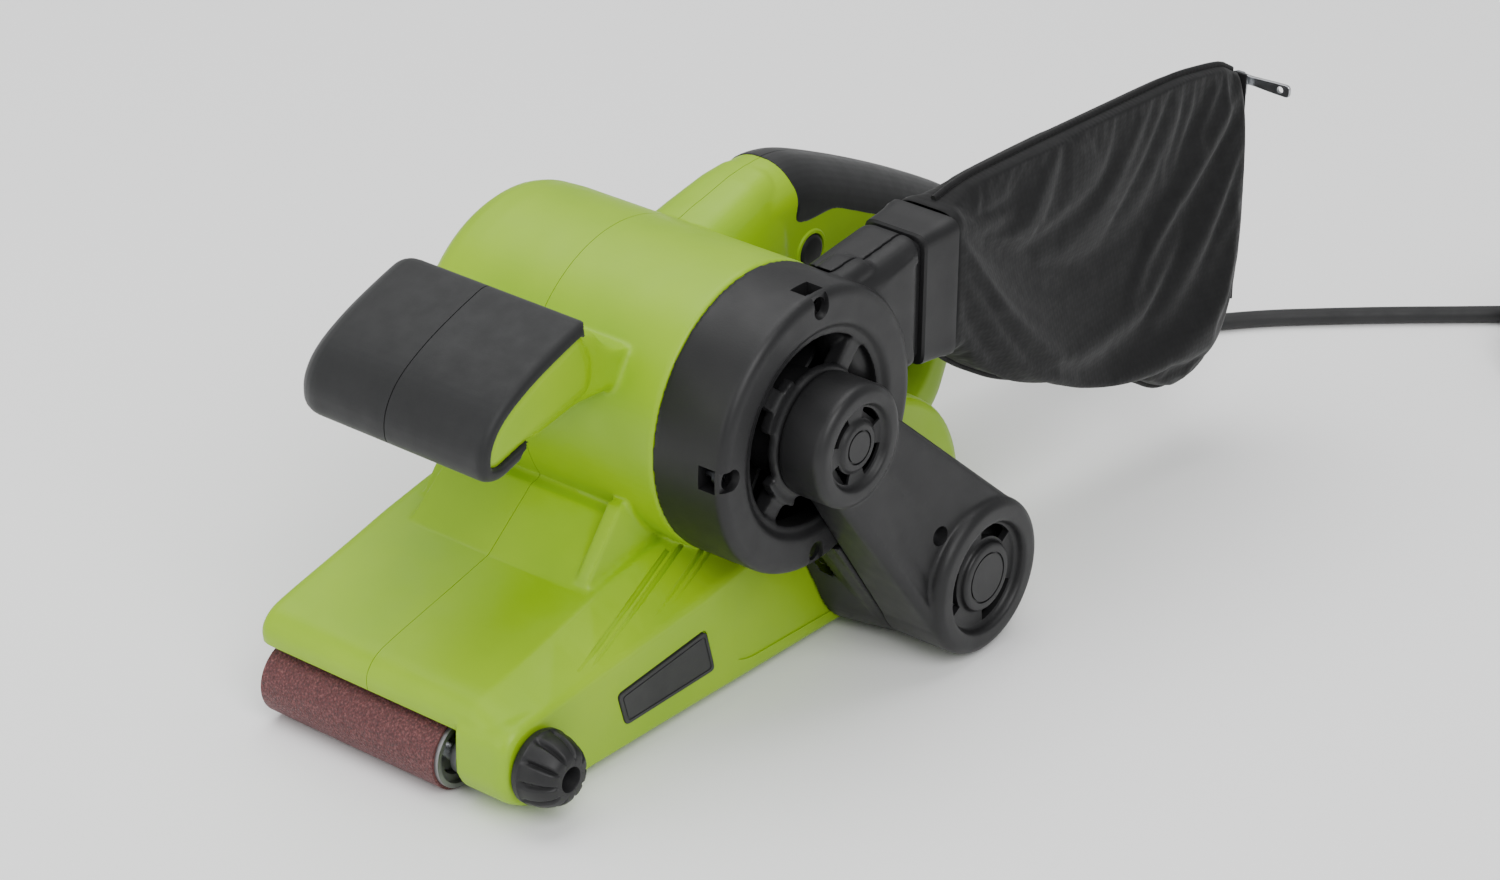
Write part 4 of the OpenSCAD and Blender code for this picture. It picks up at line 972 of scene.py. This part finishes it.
def buildDriveCover(facts):
    high, low, back = facts["upperFace"], facts["lowerFace"], facts["back"]
    arm = [(motorX, motorZ, facts["armUpper"]), (driveX, driveZ, facts["armLower"])]
    base = loopAround(*arm, 0, 48)
    axis = Vector((driveX - motorX, driveZ - motorZ))

    # the face of the arm rises towards the lower boss
    def faceAt(p):
        t = min(max((Vector(p) - Vector((motorX, motorZ))).dot(axis) / axis.length_squared, 0), 1)
        return facts["faceUpper"] + (facts["faceLower"] - facts["faceUpper"]) * t

    body = loft("driveCover", [(back, base)] + [(0.0, inset(base, 3.0 * (1 - math.cos(math.pi / 12 * k))))
                                                for k in range(7)])
    for n, v in enumerate(body.data.vertices):
        k = n // len(base) - 1
        if k >= 0:
            v.co.y = (faceAt(base[n % len(base)]) + 3.0 * (1 - math.sin(math.pi / 12 * k))) * mm
    lowBoss = lathe("lowBoss", *driveAxis, [(low, 24.6), (low + 0.5, 25.9), (low + 1.5, 27.0),
                                            (low + 3, 27.6), (back, 27.6)], 128)
    highBoss = lathe("highBoss", *motorAxis, [(high, 18.4), (high + 0.5, 19.6), (high + 1.4, 20.6),
                                              (high + 2.6, 21), (back, 21)], 128)
    body = joined(body, lowBoss, highBoss)
    room = loft("armRoom", [(facts["armFace"] + 2.5, loopAround(*arm, -2.4, 36)),
                            (back + 1, loopAround(*arm, -2.4, 36))])
    body = carved(body, room, lathe("lowRoom", *driveAxis, [(low + 6, 25.2), (back + 1, 25.2)]))
    # recessed faces of the two bosses
    for x, z, face, bore, disc, depth in ((motorX, motorZ, high, 14.4, 8.6, 2.6),
                                          (driveX, driveZ, low, 19.6, 12.2, 3.6)):
        dish = lathe("dish", x, z, [(face - 1, bore + 1.4), (face + 0.2, bore + 0.5), (face + 1, bore),
                                    (face + depth, bore - 0.6)], 96)
        island = lathe("island", x, z, [(face + 0.9, disc - 0.9), (face + 1.3, disc - 0.2),
                                        (face + 2, disc), (face + 5, disc)], 72)
        body = joined(carved(body, dish), island)
    body = melted(body, 0.66, 3)
    cuts = [arcSlot("highSlot", *motorAxis, 9.4, 13.0, a, a + 52, (high - 1, high + 7))
            for a in (22, 112, 202, 292)]
    cuts += [arcSlot("lowSlot", *driveAxis, 13.6, 18.0, a, a + 58, (low - 1, low + 8))
             for a in (35, 155, 275)]
    for x, z, face, r in ((motorX, motorZ, high, 5.6), (driveX, driveZ, low, 8.8)):
        cuts.append(carved(lathe("ringLine", x, z, [(face - 1, r + 0.35), (face + 1.6, r + 0.35)], 64),
                           lathe("ringCore", x, z, [(face - 2, r - 0.35), (face + 2.6, r - 0.35)], 64)))
    cuts.append(lathe("coverScrewWell", 66, 52.3,
                      [(low, 3.5), (-105.2, 3.4), (facts["armFace"] + 2.2, 3.4)], 40))
    for cut in cuts:
        body = carved(body, cut)
    return body


finished(shaded(buildDriveCover(cover), 34), "casing", "black_plastic", ["drive_cover"], blackNylon)
print("drive cover made")


# skirt between the cover and the casing, wider towards the casing
def buildSkirt():
    wide = [(motorX + 14, motorZ - 4, 21), (driveX - 2, driveZ + 2, 31)]
    body = loft("coverSkirt", [(-89.1, loopAround((motorX, motorZ, 18), (driveX, driveZ, 27.2), 0, 40)),
                               (-86, loopAround((motorX + 2, motorZ - 2, 18), (driveX, driveZ, 28.2), 0,
                                                40)), (nearY - 0.2, loopAround(*wide, 0, 40))])
    room = loft("skirtRoom", [(-90, loopAround((motorX, motorZ, 15.5), (driveX, driveZ, 24.6), 0, 40)),
                              (nearY + 1, loopAround(*wide, -2.4, 40))])
    keep = lathe("skirtKeep", *motorAxis, [(-95, 49.1), (-50, 49.1)], 144)
    return melted(carved(body, room, keep), 0.6, 3)


finished(shaded(buildSkirt(), 34), "casing", "black_plastic", ["belt_case"], blackNylon)

sandingBelt = {"thickness": 1.0, "gap": 0.05, "half": 37.5}


def buildSandingBelt(facts):
    outside = loopAround(*rollers, facts["gap"] + facts["thickness"], 60)
    inside = loopAround(*rollers, facts["gap"], 60)
    return hoop("sandingBelt", outside, inside, -facts["half"], facts["half"], "y", 24)


beltPiece = shaded(buildSandingBelt(sandingBelt), 30)
finished(beltPiece, "casing", "abrasive_cloth", ["sanding_belt"], abrasiveCloth, beltBackCloth)
print("belt made")

knob = {
    "x": -85.0, "z": 19.2, "base": -67.4, "length": 14.6, "flutes": 10,
    "profile": [(0, 11.8), (0.5, 12.9), (1.4, 13.4), (3.2, 13.5), (3.8, 13.1), (5, 13.0), (7.5, 12.7),
                (10, 11.9), (12.3, 10.8), (14.0, 9.6), (15.0, 8.4), (15.5, 7.2)],
}


def buildKnob(facts):
    x, z = facts["x"], facts["z"]
    rings = []
    for depth, r in ((d * facts["length"] / 15.5, w * 0.94) for d, w in facts["profile"]):
        cut = min(max((depth - 3.4) / 1.4, 0), 1) * min(max((15.4 - depth) / 2.2, 0), 1)
        outline = []
        for k in range(240):
            a = 2 * math.pi * k / 240
            wave = max(0.0, math.cos(a * facts["flutes"])) ** 3
            outline.append((x + (r - 1.7 * cut * wave) * math.cos(a),
                            z + (r - 1.7 * cut * wave) * math.sin(a)))
        rings.append((facts["base"] - depth, outline))
    body = loft("trackingKnob", rings[::-1])
    end = facts["base"] - facts["length"]
    body = carved(body, lathe("knobBore", x, z, [(end - 1, 4.8), (end + 0.4, 4.2), (end + 7, 3.6)], 48))
    return carved(body, lathe("knobSocket", x, z, [(end + 6, 3.05), (nearY + 1, 3.05)], 40))


finished(shaded(buildKnob(knob), 34), "tracking_knob", "black_plastic", ["tracking_knob"], knobNylon)

button = lathe("lockButton", 106, 114, [(-23.7, 4.2), (-23.5, 5.0), (-22.9, 5.7), (-22.0, 6.0),
                                        (-11.4, 6.0)], 64)
finished(shaded(button, 30), "lock_button", "black_plastic", ["lock_button"], knobNylon)
bezel = carved(lathe("lockBezel", 106, 114, [(-23.1, 7.3), (-22.6, 7.9), (-21, 7.9)], 64),
               lathe("bezelBore", 106, 114, [(-25, 6.35), (-19, 6.35)], 64))
finished(shaded(bezel, 30), "casing", "green_plastic", ["housing_left"], greenNylon)


def buildTrigger():
    finger = [(-20.4, -6), (-17, -10.9), (-11, -10.6), (-2, -9.8), (8, -10.4), (14.5, -11), (20.4, -6),
              (20.4, 1.5), (12, 2.3), (12, 5), (-12, 5), (-12, 2.3), (-20.4, 1.5)]
    piece = pebble("trigger", evenly(softCorners(finger, 2.2), 150), -13, 1, 2.4, 2.4)
    for y in (-9.5, -6, -2.5):
        groove = bar("fingerLine", [(x, y, -10.6) for x in (-9, -3, 3, 9)], 0.45, 8)
        piece = carved(piece, groove)
    return swung(piece, *handle["trigger"])


finished(shaded(buildTrigger(), 34), "trigger", "black_plastic", ["trigger"], knobNylon)
print("controls made")

bag = {
    "x": (104.2, 286.8), "centre": -71.5,
    "top": [(104, 145.5), (112, 147.6), (124, 149.2), (160, 148.6), (200, 147.4), (247, 146), (272, 142),
            (282, 139), (287, 132)],
    "bottom": [(104, 97.5), (110, 92), (120, 83.5), (145, 68.5), (190, 50), (230, 35.5), (244, 26),
               (254, 24.5), (263, 25), (276, 32), (283, 39), (287, 47)],
    "half": [(104, 13.4), (116, 16), (140, 19.5), (180, 21.6), (235, 21.5), (262, 18.5), (276, 13),
             (284, 7.5), (287, 4.6)],
    "cloth": 0.6,
}


def levelOn(line, x):
    for (x0, z0), (x1, z1) in zip(line, line[1:]):
        if x0 <= x <= x1:
            t = (x - x0) / (x1 - x0)
            return z0 + (z1 - z0) * t
    return line[-1][1] if x > line[-1][0] else line[0][1]


def smoothOn(line, x, spread=7.0):
    spots = [min(max(x + spread * k / 3, line[0][0]), line[-1][0]) for k in range(-3, 4)]
    return sum(levelOn(line, s) for s in spots) / len(spots)


def bagSection(facts, x, count=112):
    top, bottom, half = (smoothOn(facts[key], x) for key in ("top", "bottom", "half"))
    middle, reach = (top + bottom) / 2, (top - bottom) / 2
    blockiness = 2.7 + 2.5 * max(0, min(1, (116 - x) / 12))
    outline = []
    for k in range(count):
        a = 2 * math.pi * (k + 0.5) / count
        u, v = math.cos(a), math.sin(a)
        w = (abs(u) ** blockiness + abs(v) ** blockiness) ** (-1 / blockiness)
        y, z = w * u, w * v
        if x > 110:
            y *= 1 - 0.3 * abs(z) ** 5
        outline.append((facts["centre"] + half * y, middle + reach * z))
    return outline


def buildBag(facts):
    first, last = facts["x"]
    stations = [first + (last - first) * k / 92 for k in range(93)]
    build = bmesh.new()
    loops = [[build.verts.new(Vector((x, p[0], p[1])) * mm) for p in bagSection(facts, x)]
             for x in stations]
    count = len(loops[0])
    for a, b in zip(loops, loops[1:]):
        skinRow(build, a, b)
    # rear end, a narrow strip closed in quads
    lastLoop = loops[-1]
    quarter = count // 4
    order = [(quarter + k) % count for k in range(count)]
    for k in range(count // 2 - 1):
        a, b = order[k], order[k + 1]
        c, d = order[count - 2 - k], order[count - 1 - k]
        build.faces.new((lastLoop[a], lastLoop[b], lastLoop[c], lastLoop[d]))
    piece = pieceFrom(build, "dustBag")
    held = piece.vertex_groups.new(name="held")
    for v in piece.data.vertices:
        x, z = v.co.x / mm, v.co.z / mm
        top, bottom = smoothOn(facts["top"], x), smoothOn(facts["bottom"], x)
        edge = min(top - z, z - bottom)
        weight = 1.0 if x < first + 3 or x > last - 2 or edge < 1.2 else 0.0
        if weight:
            held.add([v.index], weight, "REPLACE")
    return piece


def slump(piece):
    cloth = piece.modifiers.new("cloth", "CLOTH")
    s = cloth.settings
    s.quality, s.mass, s.vertex_group_mass = 7, 0.25, "held"
    s.use_pressure, s.uniform_pressure_force = True, 2.2
    s.tension_stiffness = s.compression_stiffness = 18
    s.shear_stiffness, s.bending_stiffness = 10, 0.8
    s.shrink_min = -0.014
    s.effector_weights.gravity = 0.2
    scene = bpy.context.scene
    cloth.point_cache.frame_start, cloth.point_cache.frame_end = 1, 24
    for frameNumber in range(1, 25):
        scene.frame_set(frameNumber)
    applied(piece)
    scene.frame_set(1)


dustBag = buildBag(bag)
slump(dustBag)
skin = dustBag.modifiers.new("cloth", "SOLIDIFY")
skin.thickness, skin.offset = bag["cloth"] * mm, -1
fine = dustBag.modifiers.new("fine", "SUBSURF")
fine.levels = fine.render_levels = 1
applied(dustBag)
finished(shaded(dustBag, 60), "dust_bag", "bag_cloth", ["dust_bag"], bagPolyester)


# sewn edge along the top and bottom of the bag
def buildPiping(name, line, side):
    points = []
    for k in range(60):
        x = 108 + (283 - 108) * k / 59
        points.append((x, bag["centre"], smoothOn(line, x) + side * 0.6))
    return bar(name, points, 1.1, 10)


piping = [finished(shaded(buildPiping(n, bag[key], s), 60), "dust_bag", "bag_cloth", ["dust_bag"],
                   bagPolyester) for n, key, s in (("bagSeamTop", "top", 1),
                                                   ("bagSeamBottom", "bottom", -1))]

# ends along the tool, and the opening as seen from behind
collar = {"x": (87.6, 104.2), "section": [(-84.5, 97), (-58.5, 97), (-58.5, 144), (-84.5, 144)]}


def buildCollar(facts):
    first, last = facts["x"]

    def ring(grow):
        return evenly(softCorners(inset(facts["section"], -grow), 4.5, 5), 96)

    body = loft("bagCollar", [(first, ring(-0.8)), (first + 0.7, ring(0)), (first + 5, ring(0.3)),
                              (first + 11, ring(0.8)), (last - 3.4, ring(1.3)), (last - 0.8, ring(1.4)),
                              (last, ring(0.7))], "x")
    body = carved(body, loft("collarBore", [(first - 1, ring(-2.4)), (first + 12, ring(-2.5)),
                                            (last + 1, ring(-3.6))], "x"))
    return body


finished(shaded(buildCollar(collar), 34), "dust_bag", "black_plastic", ["bag_collar"], blackNylon)

zipFacts = {"x": 287.0, "y": -71.5, "low": 46.5, "high": 125.5, "pitch": 1.9, "pull": 131.0}


def buildZip(facts):
    x, y = facts["x"], facts["y"]
    strip = softCorners([(x, y - 4), (x + 0.9, y - 3.9), (x + 0.9, y + 3.9), (x, y + 4)], 0.3, 2)
    tape = loft("zipTape", [(facts["low"], strip), (facts["high"] + 9, strip)], "z")
    count = int((facts["high"] - facts["low"] - 3) / facts["pitch"])
    teeth = []
    for k in range(count):
        side = 1 if k % 2 else -1
        z = facts["low"] + 2 + k * facts["pitch"]
        teeth.append(bar("tooth", [(x + 0.6, y - side * 0.5, z), (x + 1.3, y + side * 0.4, z),
                                   (x + 1.3, y + side * 1.5, z), (x + 0.6, y + side * 2.1, z)], 0.5, 6))
    z = facts["pull"]
    outline = softCorners([(y - 3, z - 5.8), (y + 3, z - 5.8), (y + 3.4, z), (y + 2, z + 3.6),
                           (y - 2, z + 3.6), (y - 3.4, z)], 1)
    slider = loft("slider", [(x + 1.0, outline), (x + 1.3, outline), (x + 3.0, inset(outline, 0.35)),
                             (x + 3.4, inset(outline, 0.8))], "x")
    return tape, teeth, slider


tape, teeth, slider = buildZip(zipFacts)
finished(shaded(tape, 50), "dust_bag", "bag_cloth", ["bag_zip"], bagPolyester)
with bpy.context.temp_override(active_object=teeth[0], selected_editable_objects=teeth):
    bpy.ops.object.join()
teeth[0].name = "zipTeeth"
finished(shaded(teeth[0], 50), "dust_bag", "black_plastic", ["bag_zip"], knobNylon)
finished(shaded(slider, 34), "dust_bag", "zinc_steel", ["bag_zip"], zincSteel)


def buildZipPull(facts):
    x, y = facts["x"] + 3.8, facts["y"]
    z = facts["pull"]
    outline = softCorners([(y + 2.3, z - 2.1), (y + 2.3, z + 2.1), (y - 4, z + 1.7), (y - 13, z + 2.2),
                           (y - 20, z + 2.4), (y - 20, z - 2.4), (y - 13, z - 2.2), (y - 4, z - 1.7)],
                          [2, 2, 1, 1, 2, 2, 1, 1], 5)
    body = loft("zipPull", [(x, inset(outline, 0.25)), (x + 0.25, outline), (x + 0.95, outline),
                            (x + 1.2, inset(outline, 0.25))], "x")
    for centre, r in ((y, 1.0), (y - 16, 1.3)):
        ring = [(centre + r * math.cos(2 * math.pi * k / 28), z + r * math.sin(2 * math.pi * k / 28))
                for k in range(28)]
        body = carved(body, loft("eye", [(x - 1, ring), (x + 3, ring)], "x"))
    return body


finished(shaded(buildZipPull(zipFacts), 34), "zip_pull", "zinc_steel", ["zip_pull"], zincSteel)
print("bag furniture made")

guard = {"base": (195, -6, 59), "tilt": 20, "length": 50, "ribs": 11}


def buildGuard(facts):
    length = facts["length"]
    heading = Vector((math.cos(math.radians(facts["tilt"])), 0, -math.sin(math.radians(facts["tilt"]))))
    points, radii = [], []
    steps = 200
    for k in range(steps + 1):
        s = -6 + (length + 6) * k / steps
        t = min(max((s - 10) / (length - 10), 0), 1)
        r = 5.0 if s < 8.4 else 6.9 - 0.3 * max(0, 10 - s) if s < 11 else 6.5 - 2.4 * t
        phase = (t * facts["ribs"]) % 1
        if s > 14 and s < length - 3 and phase < 0.42:
            r -= 1.15 * math.sin(math.pi * phase / 0.42) ** 0.5
        if s > length - 1:
            r -= 0.5 * (s - length + 1)
        points.append(tuple(Vector(facts["base"]) + heading * s))
        radii.append(r)
    return bar("cordGuard", points, radii, 40)


cordGuard = finished(shaded(buildGuard(guard), 40), "casing", "cord_rubber", ["cord_guard"], cordRubber)

# strap round one side of the coil
tie = {"x": 413, "y": -135, "half": 11.8, "width": 12, "height": 20.8, "thick": 1.1}


def buildTie(facts):
    near, far, top = facts["y"] - facts["half"], facts["y"] + facts["half"], facts["height"]
    outline = [(near, 0.05), (far, 0.05), (far, top), (near, top)]
    outside, inside = (evenly(softCorners(inset(outline, d), 5, 6), 120) for d in (0, facts["thick"]))
    start = facts["x"] - facts["width"] / 2
    return hoop("cordTie", outside, inside, start, start + facts["width"], "x", 6)


cordTie = finished(shaded(buildTie(tie), 40), "casing", "tie_strap", ["cord_tie"], strapWebbing,
                   strapWebbing)

plug = {
    "outline": [(384.5, -182), (394, -193.6), (428, -193.6), (432.4, -189), (432.4, -149), (428, -144.4),
                (394, -144.4), (384.5, -156)],
    "z": (20.9, 40.9),
}


def buildPlug(facts):
    low, high = facts["z"]
    outline = evenly(softCorners(facts["outline"], 5, 5), 140)
    body = pebble("plugBody", outline, low, high, 3.4, 1.2, 6, "z")
    neck = bar("plugNeck", [(x, -169, 30.9) for x in (374, 376, 379, 383, 388)],
               [4.4, 4.9, 5.3, 6.2, 7.5], 36)
    body = joined(body, neck)
    rim = evenly(softCorners(inset(facts["outline"], 4.2), 4, 5), 120)
    body = carved(body, loft("plugDish", [(low - 1, inset(rim, 3)), (low + 0.7, inset(rim, 3.4))], "z"))
    for k in range(5):
        for y in (-194.6, -143.4):
            body = carved(body, loft("grip", [(low + 4, circle(400 + 6 * k, y, 1.7, 20)),
                                              (high - 3.5, circle(400 + 6 * k, y, 1.7, 20))], "z"))
    return body


plugBody = finished(shaded(buildPlug(plug), 34), "casing", "cord_rubber", ["plug_body"], cordRubber)
print("cord pieces made")

carried = {
    "steel": turnedSteel, "zinc_steel": zincSteel, "cast_aluminium": dieCastAluminium,
    "iron": motorIron, "copper": copperWire, "brass": stampedBrass, "carbon": pressedGraphite,
    "cork": corkPad, "drive_rubber": rollerRubber, "black_plastic": blackNylon,
    "green_plastic": greenNylon, "soft_grip": gripRubber, "badge_plastic": badgeNylon,
    "abrasive_cloth": abrasiveCloth, "bag_cloth": bagPolyester, "cord_rubber": cordRubber,
    "tie_strap": strapWebbing,
}
for row in frame["record"]["subparts"]:
    useMaterial(frame["nodes"][row["node"]], carried[row["material_slot"]])
print("carried-over nodes dressed")

# in metres and watts
stageFacts = {
    "floor": 6.0, "paper": "#FAFAFA", "sky": "#F4F5F6", "skyStrength": 0.5, "aim": (0.08, 0, 0.06),
    "lights": [("keyLight", (-0.9, -1.5, 1.7), 1.4, 42), ("topLight", (0.3, 0.5, 2.0), 2.0, 38),
               ("fillLight", (-1.6, 0.6, 0.9), 1.2, 10)],
}


def setStage(facts):
    half = facts["floor"] / 2
    mesh = bpy.data.meshes.new("studioFloor")
    mesh.from_pydata([(-half, -half, 0), (half, -half, 0), (half, half, 0), (-half, half, 0)], [],
                     [(0, 1, 2, 3)])
    floor = newPiece("studioFloor", mesh)
    paper = newMaterial("studioPaper",
                        **{"Roughness": 0.7, "Base Color": linearColour(facts["paper"])})[0]
    useMaterial(floor, paper)
    world = bpy.data.worlds.new("studioWorld")
    world.use_nodes = True
    sky = world.node_tree.nodes["Background"]
    sky.inputs[0].default_value = linearColour(facts["sky"])
    sky.inputs[1].default_value = facts["skyStrength"]
    bpy.context.scene.world = world
    for name, spot, size, power in facts["lights"]:
        lamp = bpy.data.lights.new(name, "AREA")
        lamp.size, lamp.energy = size, power
        holder = bpy.data.objects.new(name, lamp)
        bpy.context.scene.collection.objects.link(holder)
        aim = Vector(facts["aim"]) - Vector(spot)
        holder.matrix_world = Matrix.Translation(spot) @ aim.to_track_quat("-Z", "Y").to_matrix().to_4x4()


setStage(stageFacts)
print("stage set")
